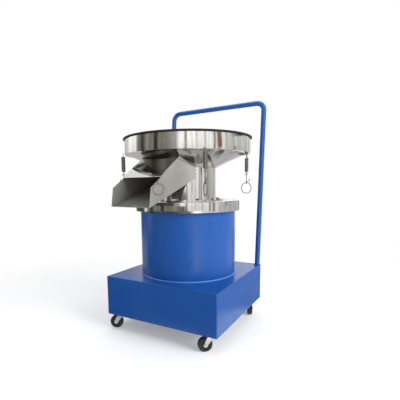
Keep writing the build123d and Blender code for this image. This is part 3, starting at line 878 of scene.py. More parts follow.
@dataclass
class PushCart:
    """Base box, drum and push handle."""

    shop: Workshop
    weld_leg: float = 0.0045
    bead_radius: float = 0.0030
    seam_bead_radius: float = 0.0012
    handle_bead_rise: float = 0.0012
    handle_tube_radius: float = 0.013
    handle_lean: float = 4.86
    seam_azimuth: float = 118.0

    def build(self) -> None:
        """Dress the cart's nodes and add its welds."""
        self.shop.dress("base_shell", "caster_corner_plates", "push_handle", "drum_shell", "spring_shelf",
                        "lower_spring_seats", "cable_gland", "caster_plates", "caster_bolts")
        self.drum_foot_weld()
        self.drum_seam()
        self.handle_foot_welds()

    def drum_foot_weld(self) -> None:
        """Rippled bead round the drum's foot, in a paler blue that paints a highlight along its crest."""
        low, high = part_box("drum_shell")
        count = 720
        path = circle_path(high.x - self.weld_leg * 0.55, low.z + self.weld_leg * 0.45, count)
        bead = wire(path, bead_radii(count, self.bead_radius, 0.10, 11), 12, closed=True)
        piece = self.shop.place("drum_foot_weld", bead, Slot.BLUE_PAINT, "cart", crease=80)
        # The paler blue paints a highlight along the bead.
        piece.data.materials[0] = self.shop.weld_highlight_paint

    def drum_seam(self) -> None:
        """Painted seam where the rolled drum closes, at the back."""
        low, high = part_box("drum_shell")
        radius = high.x - self.weld_leg
        count = 180
        azimuth = math.radians(self.seam_azimuth)
        bottom = low.z + self.weld_leg
        rise = high.z - bottom
        path = [polar(radius, azimuth, bottom + rise * index / (count - 1)) for index in range(count)]
        bead = wire(path, bead_radii(count, self.seam_bead_radius, 0.3, 12), 8)
        self.shop.place("drum_seam_weld", bead, Slot.BLUE_PAINT, "cart", crease=80)

    def handle_foot_welds(self) -> None:
        """Fillet bead round each leg of the handle."""
        low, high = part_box("push_handle")
        stretch = 1 / math.cos(math.radians(self.handle_lean))
        centre_y = low.y + self.handle_tube_radius * stretch
        count = 96
        for name, side in (("right", 1), ("left", -1)):
            centre_x = side * (high.x - self.handle_tube_radius)
            centre = Vector((centre_x, centre_y, low.z + self.handle_bead_rise))
            path = []
            for index in range(count):
                angle = FULL_TURN * index / count
                reach = self.handle_tube_radius + self.handle_bead_rise
                path.append(centre + Vector((reach * math.cos(angle), reach * stretch * math.sin(angle), 0)))
            bead = wire(path, bead_radii(count, self.bead_radius, 0.25, 13), 8, closed=True)
            self.shop.place(f"handle_foot_weld_{name}", bead, Slot.BLUE_PAINT, "cart", crease=80)


@dataclass
class CasterSet:
    """The four casters: their own tyres and hubs, and the CAD forks and axles."""

    shop: Workshop
    corners: tuple[str, ...] = ("front_right", "front_left", "rear_right", "rear_left")
    hub_radius: float = 0.017
    axle_radius: float = 0.0041
    edge_radius: float = 0.0045
    half_width: float = 0.0115
    rim_step: float = 0.0012
    dish: float = 0.0030
    ribs: int = 6

    def build(self) -> None:
        """Dress the forks and make the wheels."""
        for corner in self.corners:
            self.shop.dress(f"caster_{corner}_fork", f"caster_{corner}_axle")
            self.wheel(corner)

    def axle_line(self, corner: str) -> Matrix:
        """Matrix that lays a wheel made round +Z on a corner's axle."""
        joint = next(j for j in self.shop.frame["joints"] if j["name"] == f"caster_{corner}_spin")
        direction = Vector(joint["axis"]).normalized()
        turn = direction.to_track_quat("Z", "Y").to_matrix().to_4x4()
        return Matrix.Translation(Vector(joint["pos_m"])) @ turn

    def wheel(self, corner: str) -> None:
        """Tyre and hub of one corner."""
        low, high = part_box(f"caster_{corner}_wheel")
        outer = (high.z - low.z) / 2
        half = self.half_width
        face = half - 0.0006
        dish = half - self.dish
        rim = self.hub_radius + self.rim_step
        boss_top = self.hub_radius * 0.55
        boss_foot = self.hub_radius * 0.62
        tyre = rounded_outline(
            [(rim, -half), (outer, -half), (outer, half), (rim, half)],
            [0.0008, self.edge_radius, self.edge_radius, 0.0008])
        hub = rounded_outline(
            [(self.axle_radius, -half), (boss_top, -half), (boss_foot, -dish), (self.hub_radius, -dish),
             (rim, -face), (rim, face), (self.hub_radius, dish), (boss_foot, dish), (boss_top, half),
             (self.axle_radius, half)],
            [0, 0.0006, 0.0006, 0.0008, 0.0003, 0.0003, 0.0008, 0.0006, 0.0006, 0], 3)
        where = self.axle_line(corner)
        self.shop.place(f"caster_{corner}_tyre", turned(tyre, 72).placed(where), Slot.BLACK_TYRE,
                        f"caster_{corner}_roll", [f"caster_{corner}_wheel"])
        body = turned(hub, 48)
        for index in range(self.ribs):
            for face in (-1, 1):
                body.add(self.rib(face, half).placed(around_axis(360.0 * index / self.ribs)))
        self.shop.place(f"caster_{corner}_hub", body.placed(where), Slot.BLACK_TYRE,
                        f"caster_{corner}_roll")

    def rib(self, face: int, half: float) -> Shape:
        """One moulded rib across the dish of a hub face, along +X.

        Args:
            face: Side of the wheel, -1 or 1.
            half: Half of the wheel's width.

        Returns:
            The rib, its foot sunk into the dish.
        """
        inner = self.hub_radius * 0.58
        outer = self.hub_radius * 1.02
        foot = face * (half - self.dish - 0.0008)
        crest = face * (half - 0.0010)
        shape = Shape()
        for along in (inner, outer):
            for across, level in ((-0.0010, foot), (0.0010, foot), (0.0007, crest), (-0.0007, crest)):
                shape.points.append(Vector((along, across, level)))
        shape.faces = [(0, 1, 2, 3), (7, 6, 5, 4), (0, 4, 5, 1), (1, 5, 6, 2), (2, 6, 7, 3), (3, 7, 4, 0)]
        if face < 0:
            shape.faces = [tuple(reversed(item)) for item in shape.faces]
        return shape


@dataclass
class SieveHead:
    """Lid, neck, cone and tray of polished sheet."""

    shop: Workshop
    sheet: float = 0.002
    steps: int = 256
    neck_radius: float = 0.1386
    cone_top_radius: float = 0.280
    rim_width: float = 0.009
    shaft_passage_radius: float = 0.040
    seam_azimuth: float = -29.5
    seam_spots: int = 6

    def build(self) -> None:
        """Dress the head's nodes and make its turned sheets."""
        self.shop.dress("vibrating_plate", "upper_spring_seats", "neck_tube", "neck_bolts", "discharge_pan",
                        "chute_body", "latch_lugs")
        self.lid()
        self.cone()
        self.tray()
        self.tray_seam()
        self.cone_weld()

    def cone_run(self) -> float:
        """Widening of the cone for each metre of its height."""
        low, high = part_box("cone_funnel")
        return (self.cone_top_radius - self.neck_radius) / (high.z - self.sheet - low.z)

    def lid(self) -> None:
        """Pressed lid with a rounded shoulder and a small hem at its skirt's edge."""
        low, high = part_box("drum_lid")
        outer = high.x
        inner = outer - self.sheet
        under = high.z - self.sheet
        hem = 0.0012
        skirt = inner - 0.0010
        hem_top = low.z + 0.004
        passage = self.shaft_passage_radius
        corners = [(passage, under), (skirt, under), (skirt, hem_top), (inner - hem, hem_top),
                   (inner - hem, low.z), (outer, low.z), (outer, high.z), (passage, high.z)]
        radii = [0.0005, 0.0022, 0.0, 0.0004, 0.0006, 0.0008, 0.0034, 0.0005]
        wave = SheetWave(0.00022, (5, 9, 14), (30.0, 0.0, 55.0), (0.4, 2.1, 4.0))
        shape = turned(rounded_outline(corners, radii), self.steps, wave)
        self.shop.place("lid_shell", shape, Slot.POLISHED_STAINLESS, "sieve_head", ["drum_lid"])

    def cone(self) -> None:
        """Spun cone with its flat ledge under the tray's band."""
        low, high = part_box("cone_funnel")
        run = self.cone_run()
        skin = self.sheet * math.sqrt(1 + run * run)
        ledge_inside = self.neck_radius - skin + run * (high.z - low.z)
        corners = [(self.neck_radius, low.z), (self.cone_top_radius, high.z - self.sheet),
                   (high.x, high.z - self.sheet), (high.x, high.z), (ledge_inside, high.z),
                   (self.neck_radius - skin, low.z)]
        radii = [0.0, 0.006, 0.0007, 0.0, 0.004, 0.0]
        wave = SheetWave(0.00030, (4, 7, 12), (60.0, 25.0, 90.0), (1.0, 3.3, 5.1))
        self.shop.place("cone_shell", turned(rounded_outline(corners, radii), self.steps, wave),
                        Slot.POLISHED_STAINLESS, "sieve_head", ["cone_funnel"])

    def tray(self) -> None:
        """Rolled band of the tray with its flat rim turned inwards."""
        low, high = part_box("tray_band")
        outer = high.x
        inner = outer - self.sheet
        rim = outer - self.rim_width
        under = high.z - self.sheet
        corners = [(inner, low.z), (outer, low.z), (outer, high.z), (rim, high.z), (rim, under),
                   (inner, under)]
        radii = [0.0, 0.0007, 0.0022, 0.0007, 0.0, 0.0008]
        wave = SheetWave(0.00018, (3, 8, 13), (20.0, 0.0, 45.0), (0.2, 1.7, 2.9))
        self.shop.place("tray_shell", turned(rounded_outline(corners, radii), self.steps, wave),
                        Slot.POLISHED_STAINLESS, "sieve_head", ["tray_band"])

    def tray_seam(self) -> None:
        """Row of spot welds where the band's ends overlap."""
        low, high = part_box("tray_band")
        spot = weld_spot(0.0022, 0.0004)
        upright = Matrix.Rotation(math.pi / 2, 4, "Y")
        row = Shape()
        for index in range(self.seam_spots):
            level = low.z + (high.z - low.z) * (index + 0.6) / self.seam_spots
            row.add(spot.placed(Matrix.Translation((high.x, 0, level)) @ upright))
        self.shop.place("tray_seam_spots", row.placed(around_axis(self.seam_azimuth)), Slot.SPRING_STEEL,
                        "sieve_head")

    def cone_weld(self) -> None:
        """Dressed weld where the cone meets the neck."""
        low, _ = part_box("cone_funnel")
        count = 540
        path = circle_path(self.neck_radius + 0.0002, low.z, count)
        bead = wire(path, bead_radii(count, 0.0013, 0.25, 21), 8, closed=True)
        self.shop.place("cone_weld", bead, Slot.POLISHED_STAINLESS, "sieve_head", crease=80)


@dataclass
class ChuteWelds:
    """Stitch welds at the neck and the cone, and beads along the floor's corners."""

    shop: Workshop
    head: SieveHead
    direction: float = -97.0
    half_width: float = 0.1076
    floor_front_z: float = 0.6002
    reach: float = 0.395
    floor_slope: float = 20.6
    top_front_z: float = 0.6777
    top_front_reach: float = 0.3835
    top_slope: float = 34.7
    pitch: float = 0.0155
    spot_radius: float = 0.0034
    spot_height: float = 0.0013
    first_rise: float = 0.004
    search_step: float = 0.0005
    corner_sink: float = 0.0002
    corner_bead: float = 0.0011
    corner_steps: int = 160
    corner_start: float = 0.392
    corner_end: float = 0.165

    def build(self) -> None:
        """Lay both rows of stitches and the beads along the floor's corners."""
        for name, side in (("left", -1), ("right", 1)):
            radii = bead_radii(self.corner_steps, self.corner_bead, 0.2, 31)
            bead = wire(self.floor_corner(side), radii, 8)
            self.shop.place(f"chute_corner_weld_{name}", bead.placed(around_axis(self.direction)),
                            Slot.ZINC_PLATE, "sieve_head", crease=80)
        for name, side in (("left", -1), ("right", 1)):
            row = Shape()
            for place, outward in self.stitches(side):
                turn = outward.to_track_quat("Z", "Y").to_matrix().to_4x4()
                spot = weld_spot(self.spot_radius, self.spot_height)
                row.add(spot.placed(Matrix.Translation(place) @ turn))
            self.shop.place(f"chute_stitch_weld_{name}", row.placed(around_axis(self.direction)),
                            Slot.SPRING_STEEL, "sieve_head", crease=60)

    def floor_underside(self, along: float) -> float:
        """Height of the floor sheet's underside at a distance along the chute."""
        return self.floor_front_z + math.tan(math.radians(self.floor_slope)) * (self.reach - along)

    def plate_top(self, along: float) -> float:
        """Height of the side plates' straight top edge at a distance along the chute."""
        return self.top_front_z + math.tan(math.radians(self.top_slope)) * (self.top_front_reach - along)

    def floor_corner(self, side: int) -> list[Vector]:
        """Path along the corner between the floor and one side plate, in the chute's own frame.

        Args:
            side: -1 for the left plate and 1 for the right plate.

        Returns:
            Points from the mouth inwards.
        """
        sheet = self.head.sheet
        skin = sheet / math.cos(math.radians(self.floor_slope))
        across = side * (self.half_width - sheet - self.corner_sink)
        run = self.corner_end - self.corner_start
        points = []
        for index in range(self.corner_steps):
            along = self.corner_start + run * index / (self.corner_steps - 1)
            points.append(Vector((along, across, self.floor_underside(along) + skin + self.corner_sink)))
        return points

    def stitches(self, side: int) -> list[tuple[Vector, Vector]]:
        """Places of the stitches along one joint, in the chute's own frame.

        Args:
            side: -1 for the left plate and 1 for the right plate.

        Returns:
            Each stitch's centre and the direction it faces.
        """
        low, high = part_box("cone_funnel")
        run = self.head.cone_run()
        across = self.half_width
        facing = Vector((0.45, side * 1.0, -0.1)).normalized()
        places = []
        travelled = self.pitch
        last = None
        along = math.sqrt(self.head.neck_radius ** 2 - across ** 2)
        level = self.floor_underside(along) + self.first_rise
        while True:
            radius = self.head.neck_radius + max(0.0, level - low.z) * run
            along = math.sqrt(radius ** 2 - across ** 2)
            if level > self.plate_top(along) or level > high.z - self.head.sheet:
                return places
            here = Vector((along, side * across, level))
            if last is not None:
                travelled += (here - last).length
            if travelled >= self.pitch:
                places.append((here, facing))
                travelled = 0.0
            last = here
            level += self.search_step


@dataclass
class ChuteCover:
    """Cover sheet of the chute, bowed upwards near its lower edge."""

    shop: Workshop
    chute: ChuteWelds
    lower_end: float = 0.324
    bow_distances: tuple[float, ...] = (0.0, 0.030, 0.060, 0.090)
    bow_slopes: tuple[float, ...] = (40.5, 37.5, 34.9, 34.2)
    step: float = 0.001
    rows: int = 64
    columns: int = 48
    lap: float = 0.001
    strip_sink: float = 0.0002
    strip_lap: float = 0.0004

    def build(self) -> None:
        """Make the sheet and the strips that close its sides."""
        chute = self.chute
        outer = chute.half_width
        inner = outer - chute.head.sheet
        shape = self.sheet([-outer + 2 * outer * index / self.columns for index in range(self.columns + 1)])
        for side in (-1, 1):
            shape.add(self.side_strip(side * outer, side * inner))
        self.shop.place("chute_cover_sheet", shape.placed(around_axis(chute.direction)),
                        Slot.POLISHED_STAINLESS, "sieve_head", ["chute_cover"])

    def slope(self, travelled: float) -> float:
        """Slope of the sheet in radians, from named distances up from its lower edge.

        Args:
            travelled: Distance up the sheet.

        Returns:
            The slope there.
        """
        marks = list(zip(self.bow_distances, self.bow_slopes))
        for (start, first), (end, second) in zip(marks, marks[1:]):
            if travelled < end:
                share = (travelled - start) / (end - start)
                return math.radians(first + (second - first) * share)
        return math.radians(self.bow_slopes[-1])

    def line(self, across: float) -> list[tuple[float, float, float]]:
        """Underside of the sheet at one place across it, from its lower edge to the cone or neck.

        Args:
            across: Distance from the chute's middle.

        Returns:
            Evenly spaced rows of distance along the chute, height and slope.
        """
        low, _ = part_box("cone_funnel")
        neck = self.chute.head.neck_radius - self.lap
        run = self.chute.head.cone_run()
        along, height = self.lower_end, self.chute.plate_top(self.lower_end)
        path = [(along, height, self.slope(0.0))]
        while math.hypot(along, across) > neck + max(0.0, height - low.z) * run:
            slope = self.slope(self.step * len(path))
            along -= self.step * math.cos(slope)
            height += self.step * math.sin(slope)
            path.append((along, height, slope))
        rows = []
        for index in range(self.rows + 1):
            place = (len(path) - 1) * index / self.rows
            before = min(int(place), len(path) - 2)
            share = place - before
            rows.append(tuple(a + (b - a) * share for a, b in zip(path[before], path[before + 1])))
        return rows

    def sheet(self, places: Sequence[float]) -> Shape:
        """Closed sheet over a row of places across the chute.

        Args:
            places: Distances from the chute's middle, from one side to the other.

        Returns:
            The sheet in the chute's own frame.
        """
        thick = self.chute.head.sheet
        shape = Shape()
        for across in places:
            for along, height, slope in self.line(across):
                under = Vector((along, across, height))
                outwards = Vector((math.sin(slope), 0.0, math.cos(slope)))
                shape.points.extend((under, under + thick * outwards))
        wide = 2 * (self.rows + 1)
        last = len(places) - 1
        for column in range(last):
            for row in range(self.rows):
                a = column * wide + 2 * row
                b = a + wide
                shape.faces.append((a, b, b + 2, a + 2))
                shape.faces.append((a + 1, a + 3, b + 3, b + 1))
            a = column * wide
            shape.faces.append((a, a + 1, a + wide + 1, a + wide))
            a += 2 * self.rows
            shape.faces.append((a, a + wide, a + wide + 1, a + 1))
        for row in range(self.rows):
            a = 2 * row
            shape.faces.append((a, a + 2, a + 3, a + 1))
            a += last * wide
            shape.faces.append((a, a + 1, a + 3, a + 2))
        return shape

    def side_strip(self, outer: float, inner: float) -> Shape:
        """Strip that fills the bow's gap over one side plate.

        Args:
            outer: Place of the plate's outer face across the chute.
            inner: Place of its inner face.

        Returns:
            The strip in the chute's own frame.
        """
        shape = Shape()
        rows = self.line(outer)
        for along, height, _ in rows:
            foot = self.chute.plate_top(along) - self.strip_sink
            top = height + self.strip_lap
            for across, level in ((outer, foot), (inner, foot), (inner, top), (outer, top)):
                shape.points.append(Vector((along, across, level)))
        for row in range(len(rows) - 1):
            a = 4 * row
            for corner in range(4):
                following = (corner + 1) % 4
                shape.faces.append((a + corner, a + following, a + 4 + following, a + 4 + corner))
        end = 4 * (len(rows) - 1)
        shape.faces.append((0, 3, 2, 1))
        shape.faces.append((end, end + 1, end + 2, end + 3))
        if outer > inner:
            return shape
        shape.faces = [tuple(reversed(face)) for face in shape.faces]
        return shape


@dataclass
class SpringSet:
    """The eight coil springs that carry the head."""

    shop: Workshop
    count: int = 8
    first_azimuth: float = 27.5
    circle_radius: float = 0.190
    coil_radius: float = 0.016
    wire_radius: float = 0.003
    turns: float = 5.0
    end_turns: float = 1.2
    fixed_end: float = 0.006

    def build(self) -> None:
        """Make the springs as one piece that stretches between the cart and the head."""
        low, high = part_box("isolation_springs")
        coil = self.coil(low.z, high.z)
        springs = Shape()
        for index in range(self.count):
            azimuth = self.first_azimuth + 360.0 * index / self.count
            springs.add(coil.placed(around_axis(azimuth) @ Matrix.Translation((self.circle_radius, 0, 0))))
        piece = self.shop.finished("isolation_spring_coils", springs, Slot.DARK_SPRING, 70)
        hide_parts("isolation_springs")
        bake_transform(piece)
        LOG.info("made %s between cart and sieve_head", piece.name)

    def coil(self, bottom: float, top: float) -> Shape:
        """One coil about the Z axis with closed ends.

        Args:
            bottom: Height of its lower end.
            top: Height of its upper end.

        Returns:
            The coil.
        """
        steps = 200
        path = []
        for index in range(steps + 1):
            share = index / steps
            eased = share - math.sin(FULL_TURN * share) * 0.09
            angle = FULL_TURN * (self.turns + self.end_turns) * share
            height = bottom + self.wire_radius + (top - bottom - 2 * self.wire_radius) * eased
            path.append(polar(self.coil_radius, angle, height))
        return wire(path, self.wire_radius, 10)


@dataclass
class LatchSet:
    """The four spring latches: wound springs, and the CAD hooks and rings."""

    shop: Workshop
    azimuths: dict[str, float] = field(default_factory=lambda: {
        "front_right": -47.5, "rear_right": 42.5, "rear_left": 137.5, "front_left": -137.5})
    pivot_radius: float = 0.308
    pivot_z: float = 0.832
    loop_radius: float = 0.005
    coil_radius: float = 0.008
    coil_wire: float = 0.0015
    coil_length: float = 0.072
    turns: int = 23

    def build(self) -> None:
        """Dress the hooks and rings and wind the springs."""
        for place, azimuth in self.azimuths.items():
            self.shop.dress(f"latch_{place}_hook", f"latch_{place}_ring")
            self.spring(place, azimuth)

    def spring(self, place: str, azimuth: float) -> None:
        """Wind one spring and lay it at its latch's pivot."""
        body = around_axis(azimuth) @ Matrix.Translation((self.pivot_radius, 0, self.pivot_z))
        coil = wire(self.path(), self.coil_wire, 10)
        piece = self.shop.finished(f"latch_{place}_wound_spring", coil.placed(body), Slot.SPRING_STEEL,
                                   70)
        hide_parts(f"latch_{place}_spring")
        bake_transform(piece)
        LOG.info("made %s between its arm and its pull", piece.name)

    def loop(self, centre: float, degrees: Sequence[float]) -> list[Vector]:
        """Points of one upright end loop.

        Args:
            centre: Height of its middle against the pivot.
            degrees: Angle of each point.

        Returns:
            The points.
        """
        angles = [math.radians(angle) for angle in degrees]
        return [Vector((0, self.loop_radius * math.cos(a), centre + self.loop_radius * math.sin(a)))
                for a in angles]

    def path(self) -> list[Vector]:
        """Centreline of the spring about the pivot: a loop, close coils and a loop."""
        steps = 20
        points = self.loop(-self.loop_radius, [-60 + 330 * index / steps for index in range(steps)])
        start = -2 * self.loop_radius - self.coil_wire
        drop = self.coil_length - 2 * self.coil_wire
        coil_steps = self.turns * 22
        for index in range(coil_steps + 1):
            share = index / coil_steps
            angle = -math.pi / 2 + FULL_TURN * self.turns * share
            grow = min(1.0, 8 * self.turns * share + 0.1, 8 * self.turns * (1 - share) + 0.1)
            points.append(polar(self.coil_radius * (0.5 + 0.5 * grow), angle, start - drop * share))
        lower = -3 * self.loop_radius - self.coil_length
        return points + self.loop(lower, [120 + 330 * (index + 1) / steps for index in range(steps)])


@dataclass
class Screen:
    """Rubber edge channel, flat ring and fine cloth that lift out together."""

    shop: Workshop
    steps: int = 288
    edge_width: float = 0.0148
    edge_skin: float = 0.0028
    slot_half: float = 0.0013
    sag: float = 0.0012
    pucker_depth: float = 0.00025
    pulls: int = 24

    def build(self) -> None:
        """Dress the ring and make the rubber and the cloth."""
        self.shop.dress("screen_ring")
        self.edge()
        self.cloth()

    def edge(self) -> None:
        """Rubber channel, pressed a little unevenly on its ring."""
        low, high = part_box("rim_gasket")
        outer = high.x
        inner = outer - self.edge_width
        slot = outer - self.edge_skin
        roof = (low.z + high.z) / 2 + self.slot_half
        floor = (low.z + high.z) / 2 - self.slot_half
        corners = [(inner, low.z), (outer, low.z), (outer, high.z), (inner, high.z), (inner, roof),
                   (slot, roof), (slot, floor), (inner, floor)]
        radii = [0.0006, 0.0026, 0.0026, 0.0008, 0.0, 0.0, 0.0, 0.0]
        wave = SheetWave(0.00045, (6, 11, 17), (0.0, 0.0, 300.0), (0.9, 2.4, 4.4))
        section = rounded_outline(corners, radii)
        shape = turned(section, self.steps, lambda angle, height: min(0.0, wave(angle, height)))
        self.shop.place("rubber_edge", shape, Slot.BLACK_RUBBER, "screen", ["rim_gasket"])

    def cloth(self) -> None:
        """Fine cloth, a little slack between pulls at the ring."""
        low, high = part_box("screen_cloth")
        rings = 40
        count = self.steps // 2
        shape = Shape()
        for side, level in ((1, high.z), (-1, low.z)):
            first = len(shape.points)
            shape.points.append(Vector((0, 0, level - self.sag)))
            for ring in range(1, rings + 1):
                share = ring / rings
                for step in range(count):
                    angle = FULL_TURN * step / count
                    pucker = self.pucker_depth * math.sin(self.pulls * angle) * share ** 3 * (1 - share)
                    height = level - self.sag * (1 - share * share) + pucker
                    shape.points.append(polar(high.x * share, angle, height))
            for step in range(count):
                after = (step + 1) % count
                faces = [(first, first + 1 + step, first + 1 + after)]
                for ring in range(rings - 1):
                    a = first + 1 + ring * count
                    b = a + count
                    faces.append((a + step, b + step, b + after, a + after))
                shape.faces.extend(face if side > 0 else tuple(reversed(face)) for face in faces)
        upper = 1 + (rings - 1) * count
        lower = 1 + rings * count + upper
        for step in range(count):
            after = (step + 1) % count
            shape.faces.append((upper + step, lower + step, lower + after, upper + after))
        self.shop.place("woven_cloth", shape, Slot.WOVEN_WIRE, "screen", ["screen_cloth"])


@dataclass
class VibrationMotor:
    """The motor under the plate and its rotor, all CAD nodes."""

    shop: Workshop

    def build(self) -> None:
        """Dress the motor's nodes."""
        self.shop.dress("motor_flange", "motor_bolts", "motor_housing", "stator_core", "motor_cap",
                        "motor_bearings", "motor_shaft", "rotor_core", "upper_weight", "lower_weight")


@dataclass(frozen=True)
class Card:
    """Part of the surroundings that only shows in reflections and fades at its ends."""

    name: str
    bearing: float
    half_width: float
    brightness: Colour
    fade: float = 0.3

    upright = False
    steps = 32

    def ends(self, bearing: float, distance: float) -> tuple[Vector, Vector]:
        """Both ends of the card's line at one bearing.

        Args:
            bearing: Azimuth in radians.
            distance: The card's distance from the axis.

        Returns:
            The two points.
        """
        raise NotImplementedError

    def shape(self, distance: float) -> tuple[Shape, list[float]]:
        """Mesh of the card and how solid it is at each point.

        Args:
            distance: Its distance from the axis.

        Returns:
            The mesh and one share for each point, 0 at a faded edge.
        """
        shape = Shape()
        shares = []
        for index in range(self.steps + 1):
            along = index / self.steps
            bearing = math.radians(self.bearing + self.half_width * (2 * along - 1))
            shape.points.extend(self.ends(bearing, distance))
            shares.extend([min(1.0, min(along, 1 - along) / max(self.fade, 0.001))] * 2)
        for index in range(self.steps):
            low = 2 * index
            shape.faces.append((low, low + 1, low + 3, low + 2))
        return shape, shares


@dataclass(frozen=True)
class WallCard(Card):
    """Upright card round the object."""

    bottom: float = 0.0
    top: float = 3.2

    upright = True
    steps = 24

    def ends(self, bearing: float, distance: float) -> tuple[Vector, Vector]:
        """Foot and top of the card at one bearing."""
        foot = polar(distance, bearing, self.bottom)
        return foot, foot + Vector((0, 0, self.top - self.bottom))


@dataclass(frozen=True)
class FloorCard(Card):
    """Sector of dark or pale floor; a farther rim lies lower in the stack of cards."""

    inner: float = 0.46

    def ends(self, bearing: float, distance: float) -> tuple[Vector, Vector]:
        """Inner and outer end of the card at one bearing."""
        level = 0.002 + 0.02 * (4.0 - distance)
        return polar(self.inner, bearing, level), polar(distance, bearing, level)


@dataclass
class Studio:
    """Floor, light, reflected surroundings and camera."""

    camera_place: tuple[float, float, float] = (0.7935, -1.4178, 0.6814)
    camera_bearing: float = 30.05
    camera_pitch: float = -7.12
    camera_roll: float = -0.63
    lens: float = 29.51
    sensor: float = 36.0
    shift_x: float = 0.0413
    shift_y: float = 0.0683
    floor_radius: float = 40.0
    floor_fade: tuple[float, float] = (0.75, 1.9)
    floor_lift: float = 0.26
    card_distance: float = 4.0
    card_foot_shade: float = 0.76
    wall_cards: tuple[WallCard, ...] = (
        WallCard("white_wall_back", 114, 26, (1.22, 1.22, 1.22), 0.15),
        WallCard("grey_wall_left", 152, 22, (0.72, 0.72, 0.71), 0.1),
        WallCard("dark_hall", -119, 40, (0.29, 0.28, 0.255), 0.06),
        WallCard("window_left", -171, 14, (1.45, 1.45, 1.45), 0.12),
        WallCard("window_left_bar", -168.5, 2.0, (0.80, 0.80, 0.79), 0.4),
        WallCard("post_near", -142, 8, (0.068, 0.062, 0.048), 0.45),
        WallCard("pale_strip", -130, 4, (0.37, 0.35, 0.32), 0.4),
        WallCard("post_far", -114.5, 6, (0.042, 0.038, 0.028), 0.35),
        WallCard("grey_screen", -85, 10, (0.46, 0.45, 0.43), 0.25),
        WallCard("window_front", -70.5, 5.5, (1.42, 1.42, 1.42), 0.2),
        WallCard("mullion_front", -63.5, 2.6, (0.26, 0.26, 0.23), 0.4),
        WallCard("window_middle", -54, 7.5, (1.45, 1.45, 1.43), 0.15),
        WallCard("mullion_middle", -46, 1.8, (0.74, 0.71, 0.71), 0.4),
        WallCard("window_right", -32, 13.5, (1.42, 1.43, 1.43), 0.12),
        WallCard("window_right_bar", -31, 2.2, (0.66, 0.68, 0.70), 0.4),
        WallCard("door_frame", -15.5, 2.6, (0.26, 0.23, 0.20), 0.4),
        WallCard("brown_door", -6.5, 5, (0.34, 0.165, 0.125), 0.15, 0.86),
        WallCard("door_foot", -7, 5, (0.46, 0.42, 0.39), 0.4, 0.0, 0.86),
        WallCard("white_jamb", 3, 2.5, (1.15, 1.16, 1.14), 0.3),
        WallCard("grey_door", 8, 3, (0.66, 0.67, 0.65), 0.2),
        WallCard("pale_wall_right", 42, 32, (0.83, 0.83, 0.80), 0.05),
        WallCard("grey_corner", 60, 7, (0.70, 0.70, 0.69), 0.5),
        WallCard("post_right", 77, 5, (0.52, 0.52, 0.53), 0.4),
        WallCard("low_machines", 172, 26, (0.12, 0.115, 0.105), 0.1, 0.0, 0.55),
        WallCard("low_bench", -74, 13, (0.22, 0.22, 0.205), 0.3, 0.0, 0.60),
        WallCard("shelf_right", 26, 6, (0.34, 0.34, 0.33), 0.5, 0.50, 1.00),
        WallCard("dark_roof", 62, 48, (0.10, 0.10, 0.10), 0.2, 1.50, 3.2),
    )
    floor_cards: tuple[FloorCard, ...] = (
        FloorCard("floor_all_round", 0, 180, (0.20, 0.195, 0.19), 0.0),
        FloorCard("floor_left", -147, 31, (0.026, 0.022, 0.018), 0.12),
        FloorCard("floor_front", -98, 28, (0.060, 0.054, 0.045), 0.3),
        FloorCard("floor_right_near", 12, 60, (0.36, 0.36, 0.36), 0.15),
        FloorCard("floor_right", 12, 60, (0.92, 0.92, 0.92), 0.15, 1.4),
        FloorCard("floor_rear", 116, 56, (0.56, 0.56, 0.57), 0.15),
        FloorCard("floor_window_light", -42, 15, (1.75, 1.76, 1.78), 0.35),
    )

    def build(self) -> None:
        """Set up the whole studio."""
        self.colour_management()
        self.world()
        self.floor()
        self.lamps()
        for order, card in enumerate((*self.floor_cards, *self.wall_cards)):
            self.card(card, self.card_distance - 0.03 * order)
        self.camera()

    def colour_management(self) -> None:
        """Plain sRGB output."""
        bpy.context.scene.view_settings.view_transform = "Standard"

    def world(self) -> None:
        """Even grey light, and white where the camera or a mirror looks at it."""
        world = bpy.data.worlds.new("studio_world")
        bpy.context.scene.world = world
        world.use_nodes = True
        nodes, links = world.node_tree.nodes, world.node_tree.links
        nodes.clear()
        output = nodes.new("ShaderNodeOutputWorld")
        ambient = nodes.new("ShaderNodeBackground")
        ambient.inputs["Color"].default_value = (0.93, 0.96, 1.0, 1.0)
        ambient.inputs["Strength"].default_value = 0.38
        white = nodes.new("ShaderNodeBackground")
        white.inputs["Strength"].default_value = 1.0
        white.inputs["Color"].default_value = (1.0, 1.0, 1.0, 1.0)
        shader = mixed(world.node_tree, looked_at(world.node_tree), ambient.outputs["Background"],
                       white.outputs["Background"])
        links.new(shader, output.inputs["Surface"])

